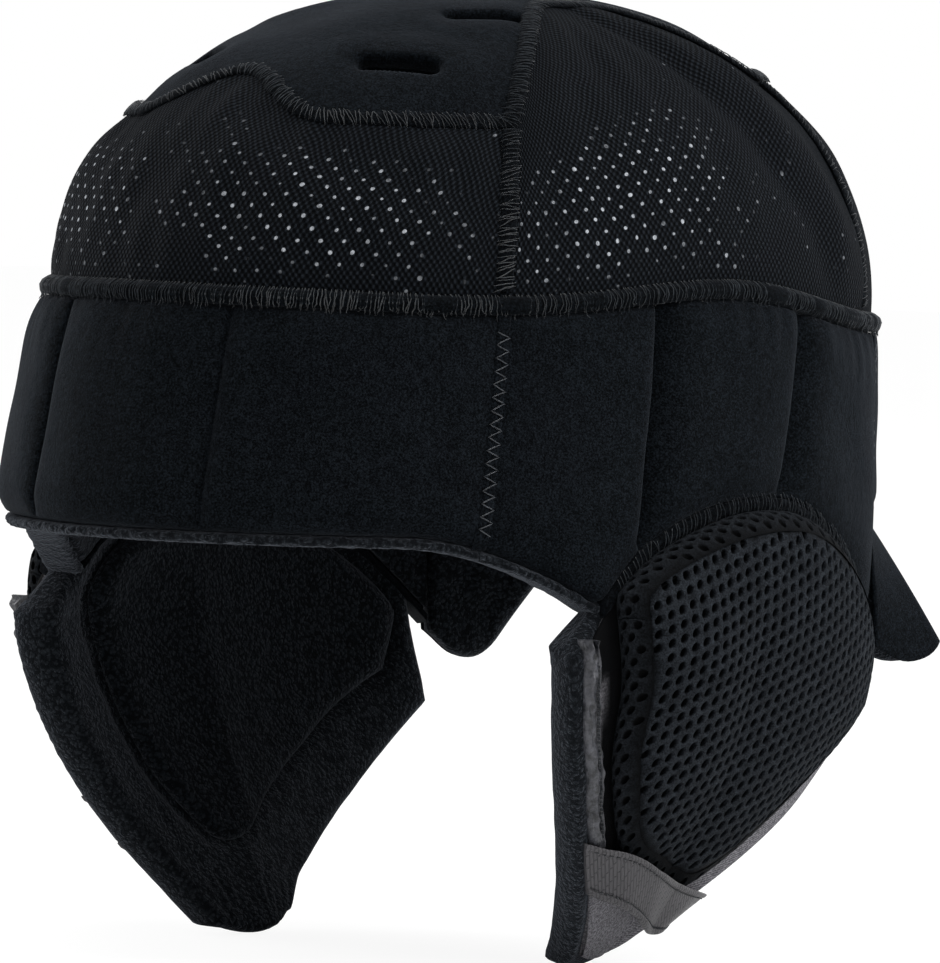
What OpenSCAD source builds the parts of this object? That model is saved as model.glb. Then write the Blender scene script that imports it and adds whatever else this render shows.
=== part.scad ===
// Soft winter liner that fits inside a riding helmet: a padded headband, a vented
// mesh crown, two padded ear flaps and two nape lobes.
// The wearer looks along -Y and the wearer's left is +X. The origin is the centre
// of the head opening, level with the band's lower edge at the forehead.

/* [Head form] */
// Half width of the band at its lower edge
half_width = 84.5; // [80:0.5:90]
// Half length of the band at its lower edge
half_length = 106; // [100:0.5:112]
// Half width of the band at its top seam
top_half_width = 80.6; // [77:0.1:84]
// Half length of the band at its top seam
top_half_length = 101; // [97:0.5:105]
// How far the top seam sits behind the lower edge
band_lean = 5.9; // [2:0.1:9]
// Height of the top seam over the ears
band_height = 49.5; // [44:0.5:56]
// How much higher the top seam runs at the forehead than over the ears
seam_rise = 3; // [0:0.5:6]
// How far the top seam arches up over the ears
ear_rise = 6; // [0:0.5:7]
// Share by which the temples are narrower than the sides behind the ears
temple_taper = 0.06; // [0:0.01:0.1]
// Height of the crown above the lower edge
crown_height = 117; // [108:0.5:126]
// How far the top of the crown lies behind the centre
crown_shift = 12; // [4:0.5:20]
// Roundness of the crown, where 2 is an ellipse and more is fuller
crown_roundness = 2.1; // [1.9:0.05:2.5]
// How far the mesh crown sits inside the band's top edge
crown_inset = 1; // [0:0.1:2]

/* [Plies] */
// Thickness of the velour
velour_t = 1; // [0.6:0.1:1.4]
// Thickness of the whole band from the head form to its lining
band_t = 7; // [5.5:0.1:9]
// Thickness of the fleece lining
fleece_t = 3; // [2:0.1:4]
// Thickness of the knitted crown mesh
mesh_t = 0.8; // [0.5:0.1:1.2]
// Thickness of the smooth outer fabric of the flaps
softshell_t = 1.2; // [0.8:0.1:1.6]
// Thickness of the coated tape on the flaps
tape_t = 1.2; // [0.8:0.1:1.6]
// Clearance between plies that lie on each other
ply_gap = 0.1; // [0.05:0.05:0.3]

/* [Headband] */
// How far the foam channels stand out of the head form
channel_puff = 2.2; // [0.5:0.1:3]
// How far the band's lower edge rolls inward
edge_roll = 2; // [0:0.1:3]
// Height of the fleece hem along the lower edge
hem_h = 2.2; // [1.5:0.1:3]
// Angle of the crease on each side of the forehead
forehead_crease = 18; // [14:1:24]
// Angle of the seam between the front cover and the side cover
side_seam = 56.2; // [52:0.2:60]
// Angle of the first channel seam over the ear
ear_crease = 78; // [75:0.5:82]
// Angle of the second channel seam behind the ear
rear_crease = 103; // [100:0.5:108]
// Angle of the seam between the side cover and the nape cover
nape_seam_angle = 130; // [129:0.5:134]
// Width of the zigzag stitching at the side seam
zigzag_w = 3; // [2:0.5:4]
// Height of the nape's lower edge over the lobes
nape_edge = 2; // [0:0.5:4]
// How much higher the nape's lower edge runs at the back
nape_notch = 4; // [0:0.5:8]

/* [Crown] */
// Width of the overlocked seams
seam_w = 4.4; // [3:0.1:6]
// Height of the overlocked seams
seam_t = 1.6; // [1:0.1:2.2]
// Angle of the seams between the front and side mesh, and behind the side mesh
crown_seam_angle = 56; // [50:1:60]
// Angle down the crown from the band to the front edge of the crown pad
pad_front = 34; // [28:1:40]
// How far the front mesh runs up into the pad at the middle
tongue_rise = 11; // [0:1:16]
// Half width of that tongue, as an angle
tongue_half = 26; // [20:1:34]
// Angle to the edge of the pad at its waist
pad_waist = 72.5; // [70:0.5:77]
// Angle to the rear edge of the pad
pad_rear = 48; // [42:1:50]
// Thickness of the crown pad
pad_t = 5; // [4:0.1:7]
// How far the pad crowns above the mesh
pad_crown = 1.4; // [0.5:0.1:2.5]
// Length of a vent slot
slot_l = 17; // [12:0.5:20]
// Width of a vent slot
slot_w = 6; // [4.5:0.1:7]
// Distance of the front slots from the middle
front_slot_x = 24; // [20:0.5:28]
// Distance of the front slots ahead of the centre
front_slot_y = 41; // [36:0.5:44]
// Distance of the middle slots from the middle
middle_slot_x = 22; // [19:0.5:24]
// Distance of the middle slots ahead of the centre
middle_slot_y = 9; // [6:0.5:14]

/* [Ear flaps] */
// Angle of the flap's front corner
flap_front = 67; // [64:0.5:68]
// Angle where the band's edge meets the flap
flap_notch = 70.8; // [70:0.1:72]
// Angle of the flap's rear corner
flap_rear = 127.6; // [126.5:0.1:128.8]
// Depth of the flap's front corner below the band edge
wing_drop = 19; // [17:0.5:24]
// Depth of the notch between the band edge and the flap
notch_drop = 13.5; // [11:0.5:15]
// Height of the band's edge over the flap
arch_height = 8.3; // [5:0.1:11]
// Angle of the highest point of that edge
arch_angle = 98; // [94:0.5:101]
// Depth of the flap's rear corner
rear_corner_drop = 43; // [38:0.5:48]
// Depth of the top of the flap's rear edge
rear_edge_drop = 25; // [20:0.5:30]
// Depth of the flap's tip
flap_depth = 89.5; // [84:0.5:96]
// Angle of the flap's tip
tip_angle = 88; // [85:0.5:92]
// How far the flap draws in towards the jaw at its tip
flap_draw_in = 31; // [22:0.5:36]
// How far the flap's front edge flares outward
flap_flare = 8; // [0:0.5:10]
// Thickness of the foam in the flap
flap_foam_t = 4.6; // [3:0.1:6]
// How far the fleece stands out beyond the outer fabric at the flap's front edge and tip
fleece_overhang = 2; // [0:0.1:3]
// Thickness of the raised pad inside the flap
inner_pad_t = 4; // [2:0.1:6]
// Clearance along the fold at the top of a flap or lobe
fold_gap = 0.6; // [0.4:0.1:1]

/* [Flap cushion] */
// Height of the cushion's side wall
gusset_h = 8; // [5:0.5:10]
// How far the cushion's face crowns above its side wall
cushion_crown = 4.5; // [2:0.5:7]
// Thickness of the spacer mesh
spacer_t = 2; // [1.2:0.1:3]
// Share of the cushion's width that its face keeps at the top of the wall
face_share = 0.9; // [0.86:0.01:0.94]
// How far the side wall bulges
gusset_bulge = 0.8; // [0:0.1:1.5]

/* [Tape and loop] */
// Width of the edge tape on the flap's outer face
tape_w = 6.5; // [5:0.5:8]
// Width of the strap loop
loop_w = 12; // [9:0.5:14]
// Clear height under the middle of the strap loop
loop_rise = 7.4; // [7:0.1:9]

/* [Nape lobes] */
// Depth of the wearer's left lobe below the nape's lower edge
lobe_depth_left = 32; // [26:0.5:40]
// Depth of the wearer's right lobe
lobe_depth_right = 37; // [26:0.5:40]
// Outward tilt of the wearer's left lobe
lobe_tilt_left = 33; // [10:1:36]
// Outward tilt of the wearer's right lobe
lobe_tilt_right = 12; // [10:1:36]
// Outward tilt of a lobe's edge beside the ear flap, from which it twists outward
lobe_tilt_edge = 8; // [4:1:12]
// Thickness of the fleece and its foam in the lobes
lobe_fleece_t = 5.4; // [4:0.1:7]

/* [Hidden] */

velour_colour = [0.05, 0.055, 0.065];
fleece_colour = [0.09, 0.095, 0.105];
mesh_colour = [0.04, 0.043, 0.05];
spacer_colour = [0.06, 0.065, 0.075];
softshell_colour = [0.07, 0.07, 0.08];
tape_colour = [0.16, 0.16, 0.18];
foam_colour = [0.55, 0.55, 0.58];
thread_colour = [0.08, 0.085, 0.1];

// The head form

// A number between a and b
function mix(a, b, t) = a + (b - a) * t;
function clamp01(t) = max(0, min(1, t));
function unit(v) = v / norm(v);

// Height of the band's top seam at an angle from the forehead
ear_arch_power = 14;
function seam_z(angle) =
    band_height + seam_rise * cos(angle) + ear_rise * pow(abs(sin(angle)), ear_arch_power);
// How far the head form draws in below the band
draw_power = 2;
draw_depth = 88;
function draw_in(z) = flap_draw_in * pow(max(0, -z) / draw_depth, draw_power);
// How far the form flares out round the flap's front corner
flare_reach = 24;
flare_start = 30;
function flare(angle, z) =
    flap_flare * sin(90 * clamp01(-z / flare_start))
    * max(0, 1 - pow((abs(angle) - flap_front) / flare_reach, 2));
// Half width, half length and centre of the form at a height
function form_w(z) =
    z >= 0 ? mix(half_width, top_half_width, z / band_height) : half_width - draw_in(z);
function form_l(z) = mix(half_length, top_half_length, max(0, z) / band_height);
function form_y(z) = band_lean * max(0, z) / band_height;
// A point beside the form: an angle from the forehead, a height, and a distance outward
function side_point(angle, z, out = 0) =
    let (
        w = form_w(z),
        l = form_l(z),
        across = unit([sin(angle) / w, -cos(angle) / l]),
        off = out + flare(angle, z)
    )
    [
        w * sin(angle) * (1 - temple_taper * cos(angle)) + off * across.x,
        -l * cos(angle) + form_y(z) + off * across.y,
        z
    ];

// The crown is a dome whose section shrinks to its top as the rise goes from 0 to 90
crown_core = [0, crown_shift, 30];
function dome_point(angle, rise, out = 0) =
    let (
        base = seam_z(angle),
        f = pow(cos(rise), 2 / crown_roundness),
        g = pow(sin(rise), 2 / crown_roundness),
        p = [
            (form_w(base) - crown_inset) * sin(angle) * (1 - temple_taper * cos(angle)) * f,
            -(form_l(base) - crown_inset) * cos(angle) * f
                + mix(form_y(base), crown_shift, g),
            mix(base, crown_height, g)
        ]
    )
    p + out * unit(p - crown_core);
// The rise at which the dome is a given height above the seam
function rise_at(angle, up) =
    asin(pow(up / (crown_height - seam_z(angle)), crown_roundness / 2));
// The change in angle that moves a point on the dome sideways by a distance
function side_step(angle, rise, d) =
    d / norm(dome_point(angle + 1, rise) - dome_point(angle, rise));
// The change in rise that moves a point on the dome upward by a distance
function up_step(angle, rise, d) =
    d / norm(dome_point(angle, rise + 0.5) - dome_point(angle, rise - 0.5));

// Closed solids from rows of points

function triple(a, b, c) = a * cross(b, c);
function signed_volume(points, faces) =
    let (parts = [for (f = faces) triple(points[f[0]], points[f[1]], points[f[2]])])
    parts * [for (p = parts) 1];
// A polyhedron whose faces are turned outward
module closed(points, faces) {
    turned = signed_volume(points, faces) > 0;
    polyhedron(points, turned ? [for (f = faces) [f[2], f[1], f[0]]] : faces, convexity = 10);
}
// Two triangles for the cell between corners a, b, c and d, split from a to c or b to d
function cell(a, b, c, d, other = false) =
    other ? [[b, c, d], [b, d, a]] : [[a, b, c], [a, c, d]];
// A sheet with a thickness: rows of points on its outer and its inner face. The cells of a
// symmetric sheet split as their mirror images do
module sheet_solid(outer, inner, symmetric = false) {
    rows = len(outer);
    cols = len(outer[0]);
    n = rows * cols;
    points = concat([for (r = outer) each r], [for (r = inner) each r]);
    function at(i, j) = i * cols + j;
    function other(j) = symmetric && j < (cols - 1) / 2;
    closed(points, concat(
        [for (i = [0:rows - 2], j = [0:cols - 2])
            each cell(at(i, j), at(i + 1, j), at(i + 1, j + 1), at(i, j + 1), other(j))],
        [for (i = [0:rows - 2], j = [0:cols - 2])
            each cell(n + at(i, j), n + at(i, j + 1), n + at(i + 1, j + 1), n + at(i + 1, j),
                other(j))],
        [for (i = [0:rows - 2], j = [0, cols - 1])
            each j == 0
                ? cell(at(i, j), n + at(i, j), n + at(i + 1, j), at(i + 1, j))
                : cell(at(i, j), at(i + 1, j), n + at(i + 1, j), n + at(i, j))],
        [for (i = [0, rows - 1], j = [0:cols - 2])
            each i == 0
                ? cell(at(i, j), at(i, j + 1), n + at(i, j + 1), n + at(i, j))
                : cell(at(i, j), n + at(i, j), n + at(i, j + 1), at(i, j + 1))]
    ));
}
function middle(points) = [for (p = points) 1] * points / len(points);
// A skin over rings of points: closed by a fan at each end, or joined end to end. Cells
// split along their other diagonal from the turn-back ring on, so that the underside of
// one ply has the same facets as the top of the next
module ring_solid(rings, looped = false, turn_back = 1000) {
    n = len(rings);
    k = len(rings[0]);
    points = concat([for (r = rings) each r], [middle(rings[0]), middle(rings[n - 1])]);
    function at(i, j) = (i % n) * k + j % k;
    closed(points, concat(
        [for (i = [0:looped ? n - 1 : n - 2], j = [0:k - 1])
            each cell(at(i, j), at(i + 1, j), at(i + 1, j + 1), at(i, j + 1), i >= turn_back)],
        looped ? [] : [for (j = [0:k - 1]) [n * k, at(0, j), at(0, j + 1)]],
        looped ? [] : [for (j = [0:k - 1]) [n * k + 1, at(n - 1, j + 1), at(n - 1, j)]]
    ));
}
// The other side's copy of a piece made for the wearer's left
module sided(left) {
    if (left) children();
    else mirror([1, 0, 0]) children();
}

// The headband

// Shares of a channel's width and of the band's height at which the surface bends
channel_shares = [0, 0.06, 0.25, 0.5, 0.75, 0.94];
height_shares = [0, 0.07, 0.22, 0.5, 0.78, 0.93, 1];
nape_crease = 152;
// The angles of a cover's columns of points, closer together beside its channel seams
function columns(seams) = concat(
    [for (i = [0:len(seams) - 2], s = channel_shares) mix(seams[i], seams[i + 1], s)],
    [seams[len(seams) - 1]]
);
front_seams = [-side_seam, -forehead_crease, forehead_crease, side_seam];
side_seams = [side_seam, ear_crease, rear_crease, nape_seam_angle];
// The side cover has a column at the notch in front of the flap
side_columns = concat(
    [for (s = [0, 0.08, 0.35, 0.65]) mix(side_seam, flap_notch, s)],
    [for (s = [0, 0.4, 0.8]) mix(flap_notch, ear_crease, s)],
    [for (i = [1, 2], s = channel_shares) mix(side_seams[i], side_seams[i + 1], s)],
    [nape_seam_angle]
);
nape_start = nape_seam_angle + 1;
nape_seams = [nape_start, nape_crease, 360 - nape_crease, 360 - nape_start];
// Half the gap that is left between two covers under their stitching
join_gap = 0.2;

// The edge over the flap, and the band's lower edge at any angle
front_arch_power = 2.5;
rear_arch_power = 1.75;
function arch_z(a) =
    a < arch_angle
    ? arch_height - (arch_height + notch_drop)
        * pow((arch_angle - a) / (arch_angle - flap_notch), front_arch_power)
    : arch_height - (arch_height + rear_edge_drop)
        * pow((a - arch_angle) / (nape_seam_angle - arch_angle), rear_arch_power);
brow_end = 46;
function edge_z(angle) =
    let (a = angle > 180 ? 360 - angle : abs(angle))
    a < brow_end ? 0
    : a < flap_notch ? -notch_drop * pow((a - brow_end) / (flap_notch - brow_end), 2)
    : a <= nape_seam_angle ? arch_z(a)
    : nape_edge + nape_notch * pow(clamp01((a - nape_crease) / (180 - nape_crease)), 2);

// How full a channel is at an angle: 0 on its seams and 1 between them
function fullness(angle, seams) =
    max([for (i = [0:len(seams) - 2])
        angle >= seams[i] && angle <= seams[i + 1]
        ? 1 - pow(abs(2 * (angle - seams[i]) / (seams[i + 1] - seams[i]) - 1), 4) : 0]);
// The band's outer face: full at mid height, drawn in at both edges
base_puff = 0.25;
roll_share = 0.14;
function band_out(angle, share, seams) =
    channel_puff * (base_puff + (1 - base_puff) * fullness(angle, seams))
        * (1 - pow(abs(2 * share - 1), 6))
    - edge_roll * pow(max(0, 1 - share / roll_share), 2);
seam_edge = seam_w / 2 + join_gap;
function band_z(angle, share) =
    mix(edge_z(angle) + hem_h + ply_gap, seam_z(angle) - seam_edge, share);
function band_row(angles, share, out) =
    [for (a = angles) side_point(a, band_z(a, share), out(a, share))];
module band_sheet(angles, shares, outer, inner) {
    sheet_solid(
        [for (s = shares) band_row(angles, s, outer)],
        [for (s = shares) band_row(angles, s, inner)],
        symmetric = angles[0] < 0
    );
}
module cover(angles, seams) {
    outer = function (a, s) band_out(a, s, seams);
    inner = function (a, s) band_out(a, s, seams) - velour_t;
    color(velour_colour) band_sheet(angles, height_shares, outer, inner);
}
// A foam pad fills the channel between two seams, from its first to its last inner column
module channel_foam(cover_angles, seams, i) {
    margin = 0.01;
    angles = [for (a = cover_angles) if (a > seams[i] + margin && a < seams[i + 1] - margin) a];
    shares = [for (k = [1:len(height_shares) - 2]) height_shares[k]];
    outer = function (a, s) band_out(a, s, seams) - velour_t - ply_gap;
    inner = function (a, s) -band_t;
    color(foam_colour) band_sheet(angles, shares, outer, inner);
}
lining_out = -band_t - ply_gap;
lining_in = lining_out - fleece_t;
lining_shares = [0.01, 0.07, 0.22, 0.5, 1];
module lining(angles) {
    outer = function (a, s) lining_out;
    inner = function (a, s) lining_in;
    color(fleece_colour) band_sheet(angles, lining_shares, outer, inner);
}
function reversed(v) = [for (i = [len(v) - 1:-1:0]) v[i]];
front_and_sides = concat(
    [for (a = reversed(side_columns)) -a],
    [for (a = columns(front_seams)) if (abs(a) < side_seam) a],
    side_columns
);
// A rolled fleece edge closes the band below its cover and its lining
hem_round = 0.8;
function hem_ring(a) =
    [for (p = [
        [hem_round / 2 - edge_roll, hem_h / 2], [-hem_round - edge_roll, 0],
        [lining_in + hem_round, 0], [lining_in, hem_h / 2],
        [lining_in + hem_round / 2, hem_h], [-edge_roll, hem_h]
    ]) side_point(a, edge_z(a) + p.y, p.x)];
module hem(angles) {
    color(fleece_colour) ring_solid([for (a = angles) hem_ring(a)]);
}
// Stitching laid over the joint between two covers
stitch_t = 0.5;
stitch_lift = 0.7;
stitch_shares = [0.04, 0.2, 0.5, 0.8, 0.95];
function share_at(angle, z) =
    (z - band_z(angle, 0)) / (band_z(angle, 1) - band_z(angle, 0));
module stitching(before, after) {
    angle = (before + after) / 2;
    turn = zigzag_w / 2 / half_length * 180 / PI;
    color(thread_colour) ring_solid([for (s = stitch_shares)
        let (
            z = band_z(after, s),
            out = stitch_lift
                + max([for (a = [before, after]) band_out(a, share_at(a, z), [a, a + 1])])
        )
        [
            side_point(angle - turn, z, out), side_point(angle - turn, z, out + stitch_t),
            side_point(angle + turn, z, out + stitch_t), side_point(angle + turn, z, out)
        ]
    ]);
}

module band_cover_front() { cover(columns(front_seams), front_seams); }
module band_cover_side(left) {
    sided(left) cover([for (a = side_columns) a == side_seam ? a + join_gap : a], side_seams);
}
module nape_cover() { cover(columns(nape_seams), nape_seams); }
module zigzag_seam(left) { sided(left) stitching(side_seam, side_seam + join_gap); }
module nape_seam(left) { sided(left) stitching(nape_seam_angle, nape_start); }
module front_hem() { hem(front_and_sides); }
module nape_hem() { hem(columns(nape_seams)); }
module band_lining() { lining(front_and_sides); }
module nape_lining() { lining(columns(nape_seams)); }
module foam_forehead() { channel_foam(columns(front_seams), front_seams, 1); }
module foam_temple(left) { sided(left) channel_foam(columns(front_seams), front_seams, 2); }
module foam_ear(left) { sided(left) channel_foam(side_columns, side_seams, 0); }
module foam_side(left) { sided(left) channel_foam(side_columns, side_seams, 1); }
module foam_rear(left) { sided(left) channel_foam(side_columns, side_seams, 2); }
module foam_nape() { channel_foam(columns(nape_seams), nape_seams, 1); }

top_seam_steps = 48;
module band_top_seam() {
    half = seam_w / 2;
    color(thread_colour) ring_solid([for (i = [0:top_seam_steps - 1])
        let (a = i * 360 / top_seam_steps, z = seam_z(a))
        [for (p = [
            [-crown_inset - seam_t, half], [-crown_inset + 0.6, half],
            [seam_t, 0], [-crown_inset + 0.6, -half], [-crown_inset - seam_t - 2, -half]
        ]) side_point(a, z + p.y, p.x)]
    ], looped = true);
}

// The crown

side_middle = 90;
seam_half = side_middle - crown_seam_angle;
edge_power = 5;
// The rise at the edge of the crown pad, at any angle
function pad_edge(angle) =
    let (a = angle > 180 ? 360 - angle : abs(angle))
    a < crown_seam_angle
    ? pad_front + (a < tongue_half ? tongue_rise * pow(cos(90 * a / tongue_half), 2) : 0)
    : a > 180 - crown_seam_angle ? pad_rear
    : pad_waist - (pad_waist - (a < side_middle ? pad_front : pad_rear))
        * pow(abs(a - side_middle) / seam_half, edge_power);
// The angles of the crown's columns of points
front_half = concat(
    [for (s = [0, 0.25, 0.5, 0.75]) tongue_half * s],
    [for (s = [0, 0.5, 1]) mix(tongue_half, crown_seam_angle, s)]
);
crown_front = concat([for (a = reversed(front_half)) if (a > 0) -a], front_half);
side_shares = [0, 0.04, 0.1, 0.19, 0.32, 0.5, 0.68, 0.81, 0.9, 0.96, 1];
crown_side = [for (s = side_shares) mix(crown_seam_angle, 180 - crown_seam_angle, s)];
rear_steps = 10;
crown_rear = [for (i = [0:rear_steps])
    mix(180 - crown_seam_angle, 180 + crown_seam_angle, i / rear_steps)];
// A mesh panel from the band's seam up to the pad, short of its neighbours by the join gap
mesh_rows = 6;
module mesh_panel(angles) {
    first = angles[0];
    last = angles[len(angles) - 1];
    function place(a, t, out) =
        let (
            low = rise_at(a, seam_edge + 2 * join_gap),
            high = pad_edge(a) - up_step(a, pad_edge(a), join_gap),
            rise = mix(low, high, t),
            nudge = a == first ? 1 : a == last ? -1 : 0
        )
        dome_point(a + nudge * side_step(a, rise, join_gap), rise, out);
    color(mesh_colour) sheet_solid(
        [for (i = [0:mesh_rows]) [for (a = angles) place(a, i / mesh_rows, 0)]],
        [for (i = [0:mesh_rows]) [for (a = angles) place(a, i / mesh_rows, -mesh_t)]]
    );
}
module mesh_front() { mesh_panel(crown_front); }
module mesh_side(left) { sided(left) mesh_panel(crown_side); }
module mesh_rear() { mesh_panel(crown_rear); }

pad_angles = concat(
    crown_front,
    [for (i = [1:len(crown_side) - 2]) crown_side[i]],
    crown_rear,
    [for (i = [len(crown_side) - 2:-1:1]) 360 - crown_side[i]]
);
pad_rings = [0.2, 0.45, 0.7, 0.88, 1];
function pad_point(a, r, out) =
    let (edge = pad_edge(a) + up_step(a, pad_edge(a), join_gap))
    dome_point(a, 90 - r * (90 - edge), out);
function pad_rise(r) = pad_crown * (1 - r * r);
// One ply of the pad between two faces, each a distance from the dome at a share r
module pad_ply(top, bottom) {
    difference() {
        ring_solid(concat(
            [for (r = pad_rings) [for (a = pad_angles) pad_point(a, r, top(r))]],
            [for (r = reversed(pad_rings)) [for (a = pad_angles) pad_point(a, r, bottom(r))]]
        ), turn_back = len(pad_rings));
        vent_slots();
    }
}
slot_arc_steps = 6;
slot_cut_h = 60;
module slot_outline() {
    r = slot_w / 2;
    polygon([for (side = [1, -1], i = [0:slot_arc_steps])
        let (a = 180 * i / slot_arc_steps - 90)
        [side * (slot_l / 2 - r + r * cos(a)), side * r * sin(a)]]);
}
module vent_slots() {
    for (x = [-1, 1], p = [[front_slot_x, front_slot_y], [middle_slot_x, middle_slot_y]])
        translate([x * p.x, -p.y, crown_height - slot_cut_h / 2])
            rotate(x * atan2(p.x, p.y + crown_shift))
                linear_extrude(height = slot_cut_h) slot_outline();
}
pad_lining_t = 1;
pad_lining_top = pad_lining_t - pad_t;
module crown_pad_cover() {
    color(velour_colour)
        pad_ply(function (r) pad_rise(r), function (r) pad_rise(r) - velour_t);
}
module crown_pad_foam() {
    color(foam_colour) pad_ply(
        function (r) pad_rise(r) - velour_t - ply_gap, function (r) pad_lining_top + ply_gap);
}
module crown_pad_lining() {
    color(fleece_colour) pad_ply(function (r) pad_lining_top, function (r) -pad_t);
}

// Overlocked seams lie along paths on the crown, a little above the mesh, where a path is
// a list of angles and rises
overlock_lift = 0.6;
overlock_w = 0.8 * seam_w;
function dome_normal(p) = unit(cross(
    dome_point(p[0] + 0.5, p[1]) - dome_point(p[0] - 0.5, p[1]),
    dome_point(p[0], p[1] + 0.5) - dome_point(p[0], p[1] - 0.5)
));
function overlock_ring(path, i, looped) =
    let (
        n = len(path),
        before = path[looped ? (i + n - 1) % n : max(0, i - 1)],
        after = path[looped ? (i + 1) % n : min(n - 1, i + 1)],
        up = dome_normal(path[i]),
        along = dome_point(after[0], after[1]) - dome_point(before[0], before[1]),
        across = unit(cross(along, up)) * overlock_w / 2,
        low = dome_point(path[i][0], path[i][1]) + up * overlock_lift,
        high = low + up * seam_t
    )
    [low - across, high - across / 2, high + across / 2, low + across];
module overlock(path, looped = false) {
    color(thread_colour)
        ring_solid([for (i = [0:len(path) - 1]) overlock_ring(path, i, looped)], looped);
}
module crown_pad_seam() { overlock([for (a = pad_angles) [a, pad_edge(a)]], looped = true); }
// A seam between two mesh panels, from the band up to the pad's own seam
module mesh_seam(angle) {
    low = rise_at(angle, seam_edge + 3 * join_gap);
    high = pad_edge(angle) - up_step(angle, pad_edge(angle), 0.8 * seam_w);
    overlock([for (i = [0:mesh_rows]) [angle, mix(low, high, i / mesh_rows)]]);
}
module mesh_seam_front(left) { sided(left) mesh_seam(crown_seam_angle); }
module mesh_seam_rear(left) { sided(left) mesh_seam(180 - crown_seam_angle); }

// The ear flaps, laid out between their four edges: s runs from the front edge to the
// rear edge, t from the fold to the tip, and a place is an angle and a height

toe_front = 4;
toe_rear = 6;
toe_front_lift = 1.5;
toe_rear_lift = 4.5;
front_edge_power = 1.8;
rear_corner = 0.25;
rear_edge_bulge = 0.8;
function flap_top_z(a) =
    a < flap_notch
    ? mix(-wing_drop, arch_z(flap_notch) - fold_gap, (a - flap_front) / (flap_notch - flap_front))
    : arch_z(a) - fold_gap;
function flap_top(s) =
    let (a = mix(flap_front, flap_rear, s))
    [a, flap_top_z(a)];
function flap_toe(s) =
    let (turn = mix(-toe_front, toe_rear, s))
    [
        tip_angle + turn,
        -flap_depth + (turn < 0
            ? toe_front_lift * pow(turn / toe_front, 2) : toe_rear_lift * pow(turn / toe_rear, 2))
    ];
function flap_fore(t) = [
    mix(flap_front, tip_angle - toe_front, pow(t, front_edge_power)),
    mix(-wing_drop, toe_front_lift - flap_depth, t)
];
function flap_aft(t) =
    t < rear_corner
    ? [flap_rear, mix(flap_top_z(flap_rear), -rear_corner_drop, t / rear_corner)]
    : let (q = (t - rear_corner) / (1 - rear_corner))
        [
            mix(flap_rear, tip_angle + toe_rear, q),
            mix(-rear_corner_drop, toe_rear_lift - flap_depth, q) - rear_edge_bulge * sin(180 * q)
        ];
function flap_at(s, t) =
    (1 - t) * flap_top(s) + t * flap_toe(s) + (1 - s) * flap_fore(t) + s * flap_aft(t)
    - (1 - s) * ((1 - t) * flap_top(0) + t * flap_toe(0))
    - s * ((1 - t) * flap_top(1) + t * flap_toe(1));
function flap_point(s, t, out) =
    let (p = flap_at(s, t))
    side_point(p[0], p[1], out);
// The turn that moves a point on the flap forward or back by a distance
function turn_for(p, d) = d / norm(side_point(p[0] + 1, p[1]) - side_point(p[0], p[1]));

notch_s = (flap_notch - flap_front) / (flap_rear - flap_front);
flap_s = concat([0], [for (i = [0:8]) mix(notch_s, 0.94, i / 8)], [1]);
flap_t = [0, 0.05, 0.14, rear_corner, 0.38, 0.5, 0.62, 0.75, 0.87, 0.96, 1];
function inner_part(v) = [for (i = [1:len(v) - 2]) v[i]];
// One ply of the flap between two depths, grown out at its free edges
module flap_ply(columns, rows, top, bottom, grow = 0) {
    function place(s, t, out) =
        let (
            p = flap_at(s, t),
            a = p[0] - (s == 0 ? turn_for(p, grow) : 0),
            down = t == 1 ? grow : 0
        )
        side_point(a, (t == 0 ? flap_top_z(a) : p[1]) - down, out);
    sheet_solid(
        [for (t = rows) [for (s = columns) place(s, t, -top)]],
        [for (t = rows) [for (s = columns) place(s, t, -bottom)]]
    );
}
flap_foam_top = softshell_t + ply_gap;
flap_lining_top = flap_foam_top + flap_foam_t + ply_gap;
flap_lining_bottom = flap_lining_top + fleece_t;
module flap_shell(left) {
    sided(left) color(softshell_colour) flap_ply(flap_s, flap_t, 0, softshell_t);
}
module flap_foam(left) {
    sided(left) color(foam_colour)
        flap_ply(inner_part(flap_s), inner_part(flap_t), flap_foam_top,
            flap_foam_top + flap_foam_t);
}
module flap_lining(left) {
    sided(left) color(fleece_colour)
        flap_ply(flap_s, flap_t, flap_lining_top, flap_lining_bottom, fleece_overhang);
}

// Pads on the flap: an outline in s and t with its corners cut once, shrunk to its centre
function cut_corners(v) = [for (i = [0:len(v) - 1])
    let (next = v[(i + 1) % len(v)])
    each [mix(v[i], next, 0.25), mix(v[i], next, 0.75)]];
pad_lift = 0.5;
// A ring of the pad's outline at a share of its size, where out gives the distance at t
function pad_ring(outline, share, out) =
    let (centre = middle(outline))
    [for (p = outline) let (q = mix(centre, p, share)) flap_point(q[0], q[1], out(q[1]))];

inner_pad_outline = cut_corners([
    [0.096, 0.05], [0.286, 0.066], [0.51, 0.059], [0.734, 0.049], [0.95, 0.05],
    [0.95, 0.2], [0.8, 0.58], [0.522, 0.796], [0.3, 0.792], [0.13, 0.678],
    [0.092, 0.418], [0.078, 0.157]
]);
module inner_pad(left) {
    base = flap_lining_bottom + pad_lift;
    // Shares of the outline's size and of the pad's thickness
    sections = [
        [0.15, 0], [0.4, 0], [0.7, 0], [1, 0], [0.98, 0.5], [0.88, 0.9], [0.5, 1], [0.2, 1]
    ];
    sided(left) color(fleece_colour) ring_solid([for (p = sections)
        pad_ring(inner_pad_outline, p[0], function (t) -base - inner_pad_t * p[1])]);
}

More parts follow.
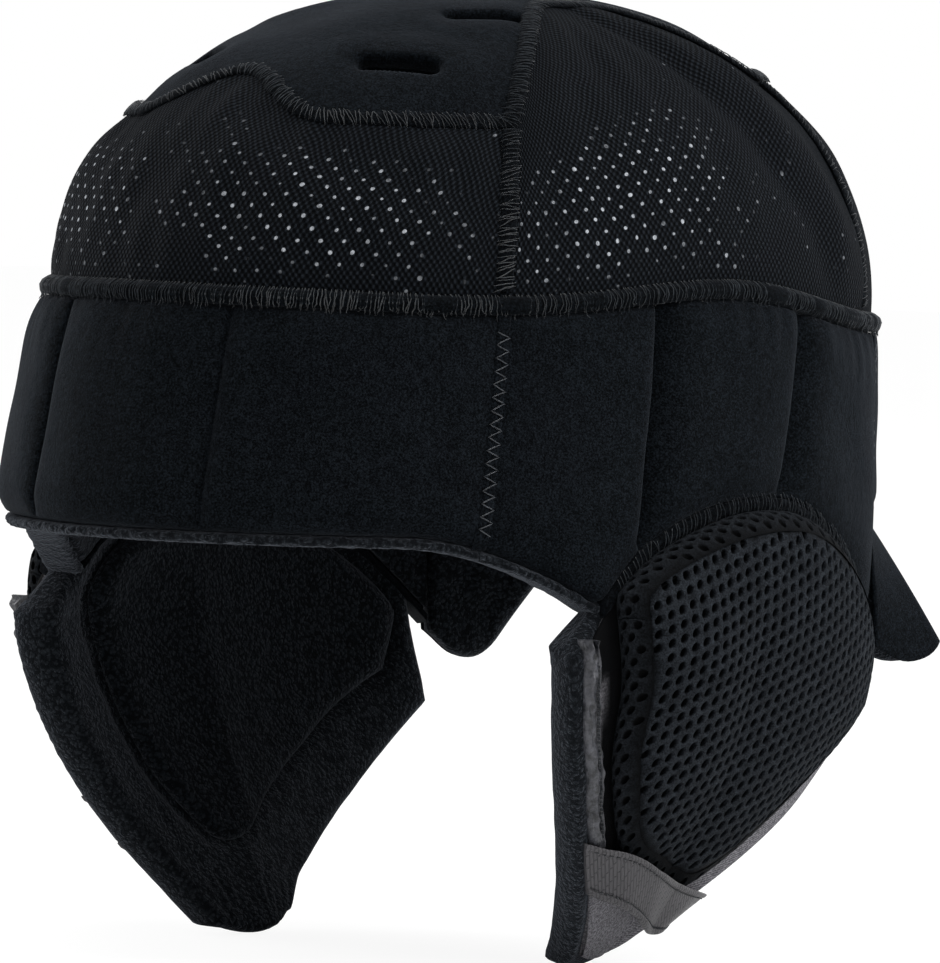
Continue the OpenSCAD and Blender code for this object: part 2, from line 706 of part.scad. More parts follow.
cushion_outline = cut_corners([
    [0.088, 0.022], [0.26, 0.024], [0.511, 0.016], [0.703, 0.032], [0.846, 0.062],
    [0.934, 0.137], [0.926, 0.328], [0.885, 0.55], [0.77, 0.74], [0.56, 0.77],
    [0.23, 0.705], [0.1, 0.53], [0.1, 0.2]
]);
cushion_radius = 34;
wall_share = softshell_t / cushion_radius;
loose_share = 0.3 / cushion_radius;
face_edge_t = 0.6;
wall_waist = mix(1, face_share, 0.5) + gusset_bulge / cushion_radius;
// The side wall is lower towards the flap's tip
function wall_h(t) = gusset_h * mix(1, 0.5, clamp01(t));
function face_top(t, share) =
    wall_h(t) + ply_gap + mix(cushion_crown, face_edge_t, pow(share, 3));
function face_below(t, share) = max(wall_h(t) + ply_gap, face_top(t, share) - spacer_t);
face_rings = [0.25, 0.5, 0.72, 0.9, 1];
module cushion_face(left) {
    sided(left) color(spacer_colour) ring_solid(concat(
        [for (r = face_rings)
            pad_ring(cushion_outline, r * face_share, function (t) face_top(t, r))],
        [for (r = reversed(face_rings))
            pad_ring(cushion_outline, r * face_share, function (t) face_below(t, r))]
    ));
}
module cushion_gusset(left) {
    function wall_ring(share, height) =
        pad_ring(cushion_outline, share, function (t) mix(pad_lift, wall_h(t), height));
    rings = [
        wall_ring(1, 0), wall_ring(wall_waist, 0.5), wall_ring(face_share, 1),
        wall_ring(face_share - wall_share, 1), wall_ring(wall_waist - wall_share, 0.5),
        wall_ring(1 - wall_share, 0)
    ];
    sided(left) color(softshell_colour) ring_solid(rings, looped = true);
}
module cushion_foam(left) {
    side = wall_share + loose_share;
    function foam_ring(share, height) =
        pad_ring(cushion_outline, share - side,
            function (t) mix(pad_lift, wall_h(t) - ply_gap, height));
    function dome_ring(share) =
        pad_ring(cushion_outline, share * face_share,
            function (t) face_below(t, share) - ply_gap);
    sided(left) color(foam_colour) ring_solid([
        foam_ring(0.18, 0), foam_ring(0.45, 0), foam_ring(0.75, 0), foam_ring(1, 0),
        foam_ring(wall_waist, 0.5), foam_ring(face_share, 1),
        dome_ring(0.9), dome_ring(0.72), dome_ring(0.5), dome_ring(0.25)
    ]);
}

// The tape folds round the flap's front edge
tape_stations = [for (i = [0:8]) mix(0.03, 0.6, i / 8)];
module edge_tape(left) {
    gap = 0.3;
    function place(t, ahead, out) =
        let (p = flap_fore(t))
        side_point(p[0] - turn_for(p, ahead), p[1], out);
    outer = [[-tape_w, pad_lift + tape_t], [-tape_w / 2, pad_lift + tape_t],
        [0, pad_lift + tape_t], [gap + tape_t, pad_lift], [gap + tape_t, -softshell_t]];
    inner = [[-tape_w, pad_lift], [-tape_w / 2, pad_lift], [0, pad_lift],
        [gap, 0], [gap, -softshell_t]];
    sided(left) color(tape_colour) sheet_solid(
        [for (t = tape_stations) [for (p = outer) place(t, p[0], p[1])]],
        [for (t = tape_stations) [for (p = inner) place(t, p[0], p[1])]]
    );
}

// The strap loop bows out from the flap's outer face between its two sewn ends
loop_steps = 12;
loop_start = 0.1;
loop_end = 0.88;
loop_power = 2.5;
function loop_t(s) = 0.705 + 0.37 * s - 0.25 * s * s;
module strap_loop(left) {
    function place(i, side, lift) =
        let (
            u = i / loop_steps,
            s = mix(loop_start, loop_end, u),
            p = flap_at(s, loop_t(s)),
            bow = loop_rise * (1 - pow(abs(2 * u - 1), loop_power))
        )
        side_point(p[0], p[1] + side * loop_w / 2, pad_lift + bow + lift);
    sided(left) color(tape_colour) sheet_solid(
        [for (i = [0:loop_steps]) [for (side = [1, 0, -1]) place(i, side, tape_t)]],
        [for (i = [0:loop_steps]) [for (side = [1, 0, -1]) place(i, side, 0)]]
    );
}

// The nape lobes

lobe_turn = 25;
// Shares of a lobe's width and of its depth along its lower edge
lobe_outline = [
    [0, 0.78], [0.09, 0.93], [0.2, 1], [0.34, 0.97], [0.5, 0.72], [0.68, 0.46], [0.86, 0.2],
    [1, 0.05]
];
lobe_rows = [0, 0.25, 0.5, 0.75, 1];
lobe_twist_share = 0.34;
module lobe_ply(depth, full_tilt, top, bottom) {
    function place(p, v, out) =
        let (
            down = depth * p[1] * v,
            tilt = mix(lobe_tilt_edge, full_tilt, min(1, p[0] / lobe_twist_share))
        )
        side_point(
            nape_start + lobe_turn * p[0], nape_edge - fold_gap - down * cos(tilt),
            down * sin(tilt) + out
        );
    sheet_solid(
        [for (v = lobe_rows) [for (p = lobe_outline) place(p, v, -top)]],
        [for (v = lobe_rows) [for (p = lobe_outline) place(p, v, -bottom)]]
    );
}
module lobe(left, top, bottom) {
    sided(left) lobe_ply(
        left ? lobe_depth_left : lobe_depth_right, left ? lobe_tilt_left : lobe_tilt_right,
        top, bottom
    );
}
module lobe_cover(left) { color(velour_colour) lobe(left, 0, velour_t); }
module lobe_lining(left) {
    color(fleece_colour) lobe(left, velour_t + ply_gap, velour_t + ply_gap + lobe_fleece_t);
}

band_cover_front();
band_cover_side(true);  // band_cover_left
band_cover_side(false);  // band_cover_right
nape_cover();
zigzag_seam(true);  // zigzag_seam_left
zigzag_seam(false);  // zigzag_seam_right
nape_seam(true);  // nape_seam_left
nape_seam(false);  // nape_seam_right
front_hem();
nape_hem();
band_lining();
nape_lining();
foam_forehead();
foam_temple(true);  // foam_temple_left
foam_temple(false);  // foam_temple_right
foam_ear(true);  // foam_ear_left
foam_ear(false);  // foam_ear_right
foam_side(true);  // foam_side_left
foam_side(false);  // foam_side_right
foam_rear(true);  // foam_rear_left
foam_rear(false);  // foam_rear_right
foam_nape();
band_top_seam();
mesh_front();
mesh_side(true);  // mesh_left
mesh_side(false);  // mesh_right
mesh_rear();
mesh_seam_front(true);  // mesh_seam_front_left
mesh_seam_front(false);  // mesh_seam_front_right
mesh_seam_rear(true);  // mesh_seam_rear_left
mesh_seam_rear(false);  // mesh_seam_rear_right
crown_pad_cover();
crown_pad_foam();
crown_pad_lining();
crown_pad_seam();
flap_shell(true);  // flap_shell_left
flap_foam(true);  // flap_foam_left
flap_lining(true);  // flap_lining_left
inner_pad(true);  // inner_pad_left
cushion_face(true);  // cushion_face_left
cushion_gusset(true);  // cushion_gusset_left
cushion_foam(true);  // cushion_foam_left
edge_tape(true);  // edge_tape_left
strap_loop(true);  // strap_loop_left
flap_shell(false);  // flap_shell_right
flap_foam(false);  // flap_foam_right
flap_lining(false);  // flap_lining_right
inner_pad(false);  // inner_pad_right
cushion_face(false);  // cushion_face_right
cushion_gusset(false);  // cushion_gusset_right
cushion_foam(false);  // cushion_foam_right
edge_tape(false);  // edge_tape_right
strap_loop(false);  // strap_loop_right
lobe_cover(true);  // lobe_cover_left
lobe_lining(true);  // lobe_lining_left
lobe_cover(false);  // lobe_cover_right
lobe_lining(false);  // lobe_lining_right
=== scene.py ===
"""Dressed model of a soft winter liner that fits inside a riding helmet.

Every shape is worked out in millimetres as whole numpy arrays and put into a mesh in
metres. The wearer looks along -Y, the wearer's left is +X, and an angle runs round the
head from the forehead towards the wearer's left. "Out" is a distance out of the head.
"""
from __future__ import annotations

import logging
from dataclasses import dataclass, field
from enum import Enum
from typing import Callable

import bmesh
import bpy
import numpy as np
from mathutils import Matrix, Vector, geometry


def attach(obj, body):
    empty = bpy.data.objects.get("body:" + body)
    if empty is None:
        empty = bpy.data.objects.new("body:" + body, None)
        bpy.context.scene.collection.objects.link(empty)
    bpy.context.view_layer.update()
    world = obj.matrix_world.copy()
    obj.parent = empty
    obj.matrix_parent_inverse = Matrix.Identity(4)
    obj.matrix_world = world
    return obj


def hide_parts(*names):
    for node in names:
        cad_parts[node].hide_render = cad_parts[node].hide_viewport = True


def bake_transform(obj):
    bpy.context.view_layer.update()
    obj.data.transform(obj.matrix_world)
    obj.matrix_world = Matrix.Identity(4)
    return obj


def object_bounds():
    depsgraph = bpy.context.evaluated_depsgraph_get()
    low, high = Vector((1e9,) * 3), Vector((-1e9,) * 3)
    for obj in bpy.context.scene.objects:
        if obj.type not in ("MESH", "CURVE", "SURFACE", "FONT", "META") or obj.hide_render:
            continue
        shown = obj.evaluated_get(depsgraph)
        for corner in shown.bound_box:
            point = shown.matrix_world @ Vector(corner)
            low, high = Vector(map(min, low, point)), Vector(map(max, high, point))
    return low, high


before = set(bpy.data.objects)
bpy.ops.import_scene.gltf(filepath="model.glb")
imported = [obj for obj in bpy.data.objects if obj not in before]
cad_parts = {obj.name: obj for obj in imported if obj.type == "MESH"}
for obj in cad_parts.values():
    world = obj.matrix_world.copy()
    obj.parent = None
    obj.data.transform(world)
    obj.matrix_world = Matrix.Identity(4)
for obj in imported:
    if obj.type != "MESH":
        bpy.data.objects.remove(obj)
CAD_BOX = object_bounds()

LOG = logging.getLogger("liner")
MM = 0.001
# The rise of a stitch over the cloth at five places along it, in mm.
STITCH_ARCH = 0.14 * np.cos(np.linspace(-np.pi / 2, np.pi / 2, 5))
# The middle of the head, from which the crown's plies are moved outward.
HEAD_CORE = np.array([0.0, 12.0, 30.0])


class Side(Enum):
    """A side of the wearer, and the sign of its X."""

    LEFT = 1
    RIGHT = -1

    @property
    def word(self) -> str:
        """The side's name as the nodes spell it."""
        return self.name.lower()


class Hold(Enum):
    """How a sheet of cloth is held."""

    STRETCHED = "stretched"
    FOLDED = "folded"


# Numbers and curves.


def sin_of(angle: np.ndarray | float) -> np.ndarray:
    """The sine of an angle in degrees."""
    return np.sin(np.radians(angle))


def cos_of(angle: np.ndarray | float) -> np.ndarray:
    """The cosine of an angle in degrees."""
    return np.cos(np.radians(angle))


def mix(a: np.ndarray | float, b: np.ndarray | float, t: np.ndarray | float) -> np.ndarray:
    """The number a share t of the way from a to b."""
    return a + (np.asarray(b, float) - a) * t


def rising(value: np.ndarray | float, low: float, high: float) -> np.ndarray:
    """0 up to low, 1 from high on, and straight between. It falls where high is lower."""
    return np.clip((value - low) / (high - low), 0, 1)


def bell(value: np.ndarray | float, middle: float, width: np.ndarray | float) -> np.ndarray:
    """1 at the middle, and less away from it: exp(-x^2), x in widths."""
    return np.exp(-(((value - middle) / width) ** 2))


def unit(v: np.ndarray) -> np.ndarray:
    """Vectors of length 1 in the same directions."""
    return v / np.maximum(np.linalg.norm(v, axis=-1, keepdims=True), 1e-9)


def stations(length: float, step: float, rim: float) -> np.ndarray:
    """Shares of a length, a step apart, and closer together over the rim at each end.

    Args:
        length: The whole length in millimetres.
        step: The usual distance between stations.
        rim: The width of each rounded end, whose stations follow a quarter circle.

    Returns:
        Rising shares from 0 to 1.
    """
    curve = rim * (1 - np.cos(np.linspace(0, np.pi / 2, 6)))[:-1]
    plain = np.linspace(rim, length - rim, max(3, int(length / step)))
    return np.concatenate([curve, plain, (length - curve)[::-1]]) / length


def closer_at(low: float, high: float, step: float, marks: list[float], rim: float) -> np.ndarray:
    """Angles from low to high, a step apart, with closer ones at both ends and beside marks.

    Args:
        low: The first angle in degrees.
        high: The last angle.
        step: The usual step in degrees.
        marks: Angles of sewn creases.
        rim: The width of the closer part in degrees.

    Returns:
        The angles in rising order.
    """
    near = rim * (1 - np.cos(np.linspace(0, np.pi / 2, 6)))
    plain = np.linspace(low, high, int((high - low) / step))
    parts = [plain, low + near, high - near]
    parts += [m + side * near for m in marks for side in (-1, 1)]
    every = np.unique(np.round(np.concatenate(parts), 4))
    return every[(every >= low) & (every <= high)]


def rumple(
    a: np.ndarray, b: np.ndarray, size: float, amount: float, seed: int, waves: int = 14
) -> np.ndarray:
    """Soft unevenness of cloth: the sum of sine waves in seeded directions.

    Args:
        a: First coordinate in millimetres.
        b: Second coordinate in millimetres.
        size: The usual wavelength.
        amount: The usual height.
        seed: Picks the waves' directions and phases.
        waves: How many waves are added.

    Returns:
        Heights of the same shape as a.
    """
    rng = np.random.default_rng(seed)
    turn, phase = rng.uniform(0, 2 * np.pi, (2, waves))
    pace = 2 * np.pi / (size * rng.uniform(0.7, 1.6, waves))
    a, b = np.broadcast_arrays(np.asarray(a, float), np.asarray(b, float))
    run = a[..., None] * np.cos(turn) + b[..., None] * np.sin(turn)
    return amount * np.sin(pace * run + phase).sum(-1) / np.sqrt(waves)


def rounded(outline: np.ndarray, times: int) -> np.ndarray:
    """A closed outline whose corners are cut at a quarter and three quarters, several times."""
    for _ in range(times):
        after = np.roll(outline, -1, 0)
        outline = np.stack([mix(outline, after, 0.25), mix(outline, after, 0.75)], 1)
        outline = outline.reshape(-1, outline.shape[-1])
    return outline


def evenly(outline: np.ndarray, count: int) -> np.ndarray:
    """A closed outline's points set an equal length apart."""
    loop = np.concatenate([outline, outline[:1]])
    run = np.concatenate([[0], np.cumsum(np.linalg.norm(np.diff(loop, axis=0), axis=1))])
    at = np.linspace(0, run[-1], count, endpoint=False)
    return np.stack([np.interp(at, run, loop[:, k]) for k in range(loop.shape[1])], -1)


def inside(points: np.ndarray, outline: np.ndarray) -> np.ndarray:
    """Whether each plan point lies inside a closed outline, by counting the edges that a
    line to the right of it crosses.

    Args:
        points: Places in the plan.
        outline: The outline's points in order.

    Returns:
        One truth value for each point.
    """
    x, y = points[:, None, 0], points[:, None, 1]
    x0, y0 = outline[:, 0], outline[:, 1]
    x1, y1 = np.roll(x0, -1), np.roll(y0, -1)
    crosses = (y0 > y) != (y1 > y)
    at = x0 + (y - y0) * (x1 - x0) / np.where(y1 == y0, 1e-9, y1 - y0)
    return (crosses & (x < at)).sum(1) % 2 == 1


# Forms: points, faces and the place of each point on its cloth.


@dataclass
class Form:
    """Points in millimetres with their faces, their places on the cloth and their depths, which the
    knit reads as stretch and the spacer and softshell as painted shade.
    """

    points: np.ndarray
    faces: list[np.ndarray]
    cloth: np.ndarray | None = None
    depth: np.ndarray | None = None

    def turned_out(self) -> Form:
        """The form with its faces turned away from the middle of the head: the sum over
        the faces of each one's place times its normal is above zero."""
        total = 0.0
        for group in self.faces:
            p = self.points[group] - HEAD_CORE
            for k in range(1, group.shape[1] - 1):
                total += float((p[:, 0] * np.cross(p[:, k], p[:, k + 1])).sum())
        if total < 0:
            self.faces = [group[:, ::-1] for group in self.faces]
        return self

    def on(self, side: Side) -> Form:
        """The form, or its mirror image for the wearer's right."""
        if side is Side.RIGHT:
            self.points = self.points * [-1, 1, 1]
            self.faces = [group[:, ::-1] for group in self.faces]
        return self

    def area(self) -> float:
        """The area of all faces in square millimetres, from fans of triangles."""
        total = 0.0
        for group in self.faces:
            p = self.points[group]
            for k in range(1, p.shape[1] - 1):
                turn = np.cross(p[:, k] - p[:, 0], p[:, k + 1] - p[:, 0])
                total += float(np.linalg.norm(turn, axis=1).sum() / 2)
        return total

    def made(self, name: str, material: bpy.types.Material) -> bpy.types.Object:
        """The form as a smooth mesh object in metres, at the origin.

        Args:
            name: The piece's name.
            material: Its finish.

        Returns:
            The new object.
        """
        loops = np.concatenate([group.ravel() for group in self.faces]).astype(np.int32)
        counts = np.concatenate([np.full(len(g), g.shape[1]) for g in self.faces])
        mesh = bpy.data.meshes.new(name)
        mesh.vertices.add(len(self.points))
        mesh.vertices.foreach_set("co", (self.points * MM).astype(np.float32).ravel())
        mesh.loops.add(len(loops))
        mesh.loops.foreach_set("vertex_index", loops)
        mesh.polygons.add(len(counts))
        starts = np.concatenate([[0], np.cumsum(counts)[:-1]]).astype(np.int32)
        mesh.polygons.foreach_set("loop_start", starts)
        mesh.update(calc_edges=True)
        mesh.polygons.foreach_set("use_smooth", np.ones(len(counts), bool))
        if self.cloth is not None:
            layer = mesh.uv_layers.new(name="cloth")
            layer.data.foreach_set("uv", self.cloth[loops].astype(np.float32).ravel())
        if self.depth is not None:
            depth = mesh.attributes.new("depth", "FLOAT", "POINT")
            depth.data.foreach_set("value", self.depth.astype(np.float32))
        mesh.validate()
        mesh.materials.append(material)
        piece = bpy.data.objects.new(name, mesh)
        bpy.context.scene.collection.objects.link(piece)
        return piece


def quads(index: np.ndarray) -> np.ndarray:
    """The four corners of each cell of a grid of point numbers."""
    corners = [index[:-1, :-1], index[1:, :-1], index[1:, 1:], index[:-1, 1:]]
    return np.stack(corners, -1).reshape(-1, 4)


def running(points: np.ndarray, axis: int) -> np.ndarray:
    """The length along a grid's rows or columns up to each point."""
    step = np.linalg.norm(np.diff(points, axis=axis), axis=-1)
    zero = np.zeros_like(step.take([0], axis))
    return np.concatenate([zero, np.cumsum(step, axis)], axis)


def cloth_places(points: np.ndarray) -> np.ndarray:
    """Where each grid point lies on its cloth in millimetres: along its row from the
    middle column, and up its column from the first row."""
    across = running(points, 1)
    across = across - across[:, [across.shape[1] // 2]]
    return np.stack([across, running(points, 0)], -1).reshape(-1, 2)


def from_edge(points: np.ndarray) -> np.ndarray:
    """The distance from each grid point to the sheet's nearest edge, along its row or
    its column."""
    near = []
    for axis in (0, 1):
        run = running(points, axis)
        near.append(np.minimum(run, run.take([-1], axis) - run))
    return np.minimum(*near)


def sheet_form(points: np.ndarray) -> Form:
    """A single layer of cloth over a grid of points."""
    rows, cols = points.shape[:2]
    index = np.arange(rows * cols).reshape(rows, cols)
    return Form(points.reshape(-1, 3), [quads(index)], cloth_places(points)).turned_out()


def ply_form(
    place: Callable[[np.ndarray], np.ndarray],
    top: np.ndarray | float,
    bottom: np.ndarray | float,
    shape: tuple[int, int],
    rim: float,
) -> Form:
    """A ply between two depths with round edges.

    Over the rim, the thickness follows a quarter circle down to nothing at the edge,
    where the outer and the inner face share their points.

    Args:
        place: Gives the grid of points at a grid of distances out of the head.
        top: The outer face's distance.
        bottom: The inner face's distance.
        shape: The grid's rows and columns.
        rim: The width of the rounding.

    Returns:
        A closed form.
    """
    top, bottom = np.broadcast_to(top, shape), np.broadcast_to(bottom, shape)
    middle, half = (top + bottom) / 2, (top - bottom) / 2
    flat = place(middle)
    share = np.clip(from_edge(flat) / rim, 0, 1)
    full = np.sqrt(1 - (1 - share) ** 2)
    outer, inner = place(middle + half * full), place(middle - half * full)
    index = np.arange(shape[0] * shape[1]).reshape(shape)
    border = np.ones(shape, bool)
    border[1:-1, 1:-1] = False
    below = index.copy()
    below[~border] = index.size + np.arange(int((~border).sum()))
    cloth = cloth_places(flat)
    return Form(
        np.concatenate([outer.reshape(-1, 3), inner[~border]]),
        [quads(index), quads(below)[:, ::-1]],
        np.concatenate([cloth, cloth[~border.ravel()]]),
    ).turned_out()


def skin_form(rings: np.ndarray, looped: bool) -> Form:
    """A skin over closed rings of points, looped end to end or closed by a face at each
    end.

    Args:
        rings: The rings, of shape (rings, points round, 3).
        looped: Whether the last ring joins the first.

    Returns:
        The closed skin.
    """
    count, around = rings.shape[:2]
    index = np.arange(count * around).reshape(count, around)
    grid = np.concatenate([index, index[:, :1]], 1)
    if looped:
        grid = np.concatenate([grid, grid[:1]])
    faces = [quads(grid)]
    if not looped:
        faces += [index[:1], index[-1:, ::-1]]
    return Form(rings.reshape(-1, 3), faces, cloth_places(rings)).turned_out()


def thread_form(paths: np.ndarray, up: np.ndarray, radius: np.ndarray | float) -> Form:
    """Threads along paths: three-sided tubes with closed ends.

    Args:
        paths: Points of shape (threads, points along, 3).
        up: The cloth's outward direction at each point.
        radius: The thread's radius, which may change along it.

    Returns:
        All threads as one form.
    """
    count, along = paths.shape[:2]
    ahead = unit(np.gradient(paths, axis=1))
    across = unit(np.cross(ahead, up))
    lift = np.cross(across, ahead)
    radius = np.broadcast_to(radius, (count, along))[..., None, None]
    turn = np.radians([90, 210, 330])[:, None]
    ring = np.cos(turn) * across[:, :, None] + np.sin(turn) * lift[:, :, None]
    points = paths[:, :, None] + radius * ring
    index = np.arange(count * along * 3).reshape(count, along, 3)
    grid = np.concatenate([index, index[:, :, :1]], 2)
    corners = [grid[:, :-1, :-1], grid[:, :-1, 1:], grid[:, 1:, 1:], grid[:, 1:, :-1]]
    faces = np.stack(corners, -1).reshape(-1, 4)
    form = Form(points.reshape(-1, 3), [faces, index[:, 0, ::-1], index[:, -1]])
    p = form.points[faces[:1]][0]
    outward = p.mean(0) - paths[0, :2].mean(0)
    if float(np.dot(np.cross(p[1] - p[0], p[2] - p[0]), outward)) < 0:
        form.faces = [group[:, ::-1] for group in form.faces]
    return form


def triangles_over(
    plan: np.ndarray, edges: np.ndarray
) -> tuple[np.ndarray, np.ndarray, np.ndarray]:
    """Triangles between plan points that keep the given edges.

    Args:
        plan: Points in the plan.
        edges: Pairs of point numbers.

    Returns:
        The plan points of the triangles, their corners, and for each given point the
        number that it has among the new ones.
    """
    out = geometry.delaunay_2d_cdt(
        [Vector(p) for p in plan.tolist()], edges.tolist(), [], 0, 1e-5, True
    )
    found = np.array([tuple(v) for v in out[0]])
    number = np.zeros(len(plan), int)
    for new, olds in enumerate(out[3]):
        number[olds] = new
    return found, np.array([tuple(f) for f in out[2]]), number


def ring_edges(start: int, count: int) -> np.ndarray:
    """The edges of a closed ring of points numbered from start."""
    at = np.arange(count)
    return np.stack([start + at, start + (at + 1) % count], 1)


# Finishes.


class Wiring:
    """The nodes of one material, with short ways to add the usual ones."""

    def __init__(self, name: str) -> None:
        """Starts an empty material.

        Args:
            name: The material's name.
        """
        self.material = bpy.data.materials.new(name)
        self.material.use_nodes = True
        self.tree = self.material.node_tree
        self.tree.nodes.clear()

    def node(self, kind: str, inputs: dict | None = None, **settings: object) -> bpy.types.Node:
        """Adds a node.

        Args:
            kind: The node's type after "ShaderNode".
            inputs: Values or sockets by input name or number.
            settings: Its properties.

        Returns:
            The node.
        """
        made = self.tree.nodes.new("ShaderNode" + kind)
        for key, value in settings.items():
            setattr(made, key, value)
        for key, value in (inputs or {}).items():
            if isinstance(value, bpy.types.NodeSocket):
                self.tree.links.new(value, made.inputs[key])
            else:
                made.inputs[key].default_value = value
        return made

    def math(self, work: str, a: object, b: object = 0.0, c: object = 0.0) -> bpy.types.NodeSocket:
        """The result of a piece of arithmetic on sockets or numbers."""
        return self.node("Math", {0: a, 1: b, 2: c}, operation=work).outputs[0]

    def place(self) -> bpy.types.NodeSocket:
        """The point's place on the object."""
        return self.node("TexCoord").outputs["Object"]

    def cloth(self) -> tuple[bpy.types.NodeSocket, bpy.types.NodeSocket]:
        """The point's place along and across the cloth, in millimetres."""
        split = self.node("SeparateXYZ", {0: self.node("UVMap", uv_map="cloth").outputs[0]})
        return split.outputs[0], split.outputs[1]

    def noise(self, scale: float, detail: float = 2.0, rough: float = 0.6) -> bpy.types.NodeSocket:
        """Soft noise with about that many grains to the metre."""
        values = {"Vector": self.place(), "Scale": scale, "Detail": detail, "Roughness": rough}
        return self.node("TexNoise", values).outputs[0]

    def ramp(self, value: object, stops: list[tuple[float, tuple]]) -> bpy.types.NodeSocket:
        """A colour that follows a value through stops."""
        made = self.node("ValToRGB", {0: value})
        band = made.color_ramp.elements
        while len(band) < len(stops):
            band.new(0.5)
        for element, (at, colour) in zip(band, stops):
            element.position, element.color = at, (*colour, 1)
        return made.outputs[0]

    def grey(self, value: object, low: float, high: float) -> bpy.types.NodeSocket:
        """A value stretched so that low becomes 0 and high becomes 1."""
        return self.node("MapRange", {0: value, 1: low, 2: high}).outputs[0]

    def depth(self) -> bpy.types.NodeSocket:
        """The depth that the form gives the point, which the spacer and softshell use as painted
        shade.
        """
        return self.node("Attribute", attribute_name="depth").outputs["Fac"]

    def painted(self, share: object, under: object, paint: tuple) -> bpy.types.NodeSocket:
        """A colour painted over by a share."""
        inputs = {0: share, 6: under, 7: (*paint, 1)}
        return self.node("Mix", inputs, data_type="RGBA").outputs[2]

    def bump(self, height: object, deep: float, strength: float, under: object = None) -> object:
        """A normal bent by a height."""
        values = {"Height": height, "Distance": deep, "Strength": strength}
        if under is not None:
            values["Normal"] = under
        return self.node("Bump", values).outputs[0]

    def finish(
        self, colour: object, normal: object, rough: float, shine: float,
        sheen: tuple[float, float] = (0.0, 0.5), tint: tuple = (1.0, 1.0, 1.0),
    ) -> bpy.types.Material:
        """Ends the material with the standard shader.

        Args:
            colour: The base colour.
            normal: The bent normal.
            rough: The roughness.
            shine: The specular level.
            sheen: The sheen's weight and roughness.
            tint: The sheen's colour.

        Returns:
            The material.
        """
        shader = self.node("BsdfPrincipled", {
            "Base Color": colour, "Roughness": rough, "Specular IOR Level": shine,
            "Sheen Weight": sheen[0], "Sheen Roughness": sheen[1], "Sheen Tint": (*tint, 1),
            "Normal": normal,
        })
        self.node("OutputMaterial", {0: shader.outputs[0]})
        return self.material


@dataclass(frozen=True)
class Velour:
    """Short brushed pile: a speckled grain, faint brush marks and sheen at grazing angles."""

    name: str = "velour"
    dark: tuple = (0.0003, 0.0005, 0.0008)
    light: tuple = (0.0078, 0.0103, 0.0135)
    sheen: float = 0.09
    grain: float = 2300.0

    def made(self) -> bpy.types.Material:
        """The velour's material."""
        w = Wiring(self.name)
        grain = w.noise(self.grain, 4.0, 0.75)
        tufts = w.noise(620.0, 3.0, 0.6)
        marks = w.noise(120.0, 3.0, 0.55)
        tone = w.math("MULTIPLY_ADD", tufts, 0.16, w.math("MULTIPLY", grain, 0.78))
        tone = w.math("MULTIPLY_ADD", marks, 0.06, tone)
        middle = mixed(self.dark, self.light, 0.28)
        colour = w.ramp(tone, [(0.42, self.dark), (0.5, middle), (0.6, self.light)])
        normal = w.bump(marks, 0.0010, 0.2)
        normal = w.bump(tufts, 0.0005, 0.4, normal)
        normal = w.bump(grain, 0.0002, 0.8, normal)
        return w.finish(colour, normal, 0.95, 0.04, (self.sheen, 0.34), (0.5, 0.57, 0.68))


@dataclass(frozen=True)
class Teddy:
    """Deep-pile fleece: rounded nubs with painted shade in the gaps between them and a fine fuzz.
    """

    name: str = "teddy_fleece"
    dark: tuple = (0.0016, 0.0021, 0.0028)
    light: tuple = (0.0105, 0.0130, 0.0160)
    sheen: float = 0.14
    nub: float = 1050.0

    def made(self) -> bpy.types.Material:
        """The fleece's material."""
        w = Wiring(self.name)
        wander = w.node("TexNoise", {"Vector": w.place(), "Scale": 900.0, "Detail": 2.0})
        shifted = w.node(
            "VectorMath", {0: wander.outputs["Color"], 1: (0.0016,) * 3, 2: w.place()},
            operation="MULTIPLY_ADD",
        )
        nubs = w.node(
            "TexVoronoi", {"Vector": shifted.outputs[0], "Scale": self.nub, "Smoothness": 0.6},
            feature="SMOOTH_F1",
        ).outputs["Distance"]
        hill = w.grey(nubs, 0.62, 0.1)
        fuzz = w.noise(3200.0, 2.0, 0.7)
        # Painted shade: the gaps between the nubs are painted darker; the fuzz is random tone.
        tone = w.math("ADD", w.math("MULTIPLY", hill, 0.62), w.math("MULTIPLY", fuzz, 0.38))
        colour = w.ramp(tone, [(0.25, self.dark), (0.72, self.light)])
        normal = w.bump(w.noise(260.0, 2.0), 0.0012, 0.35)
        normal = w.bump(hill, 0.0005, 0.6, normal)
        normal = w.bump(fuzz, 0.0003, 0.8, normal)
        return w.finish(colour, normal, 0.95, 0.04, (self.sheen, 0.45), (0.55, 0.6, 0.7))


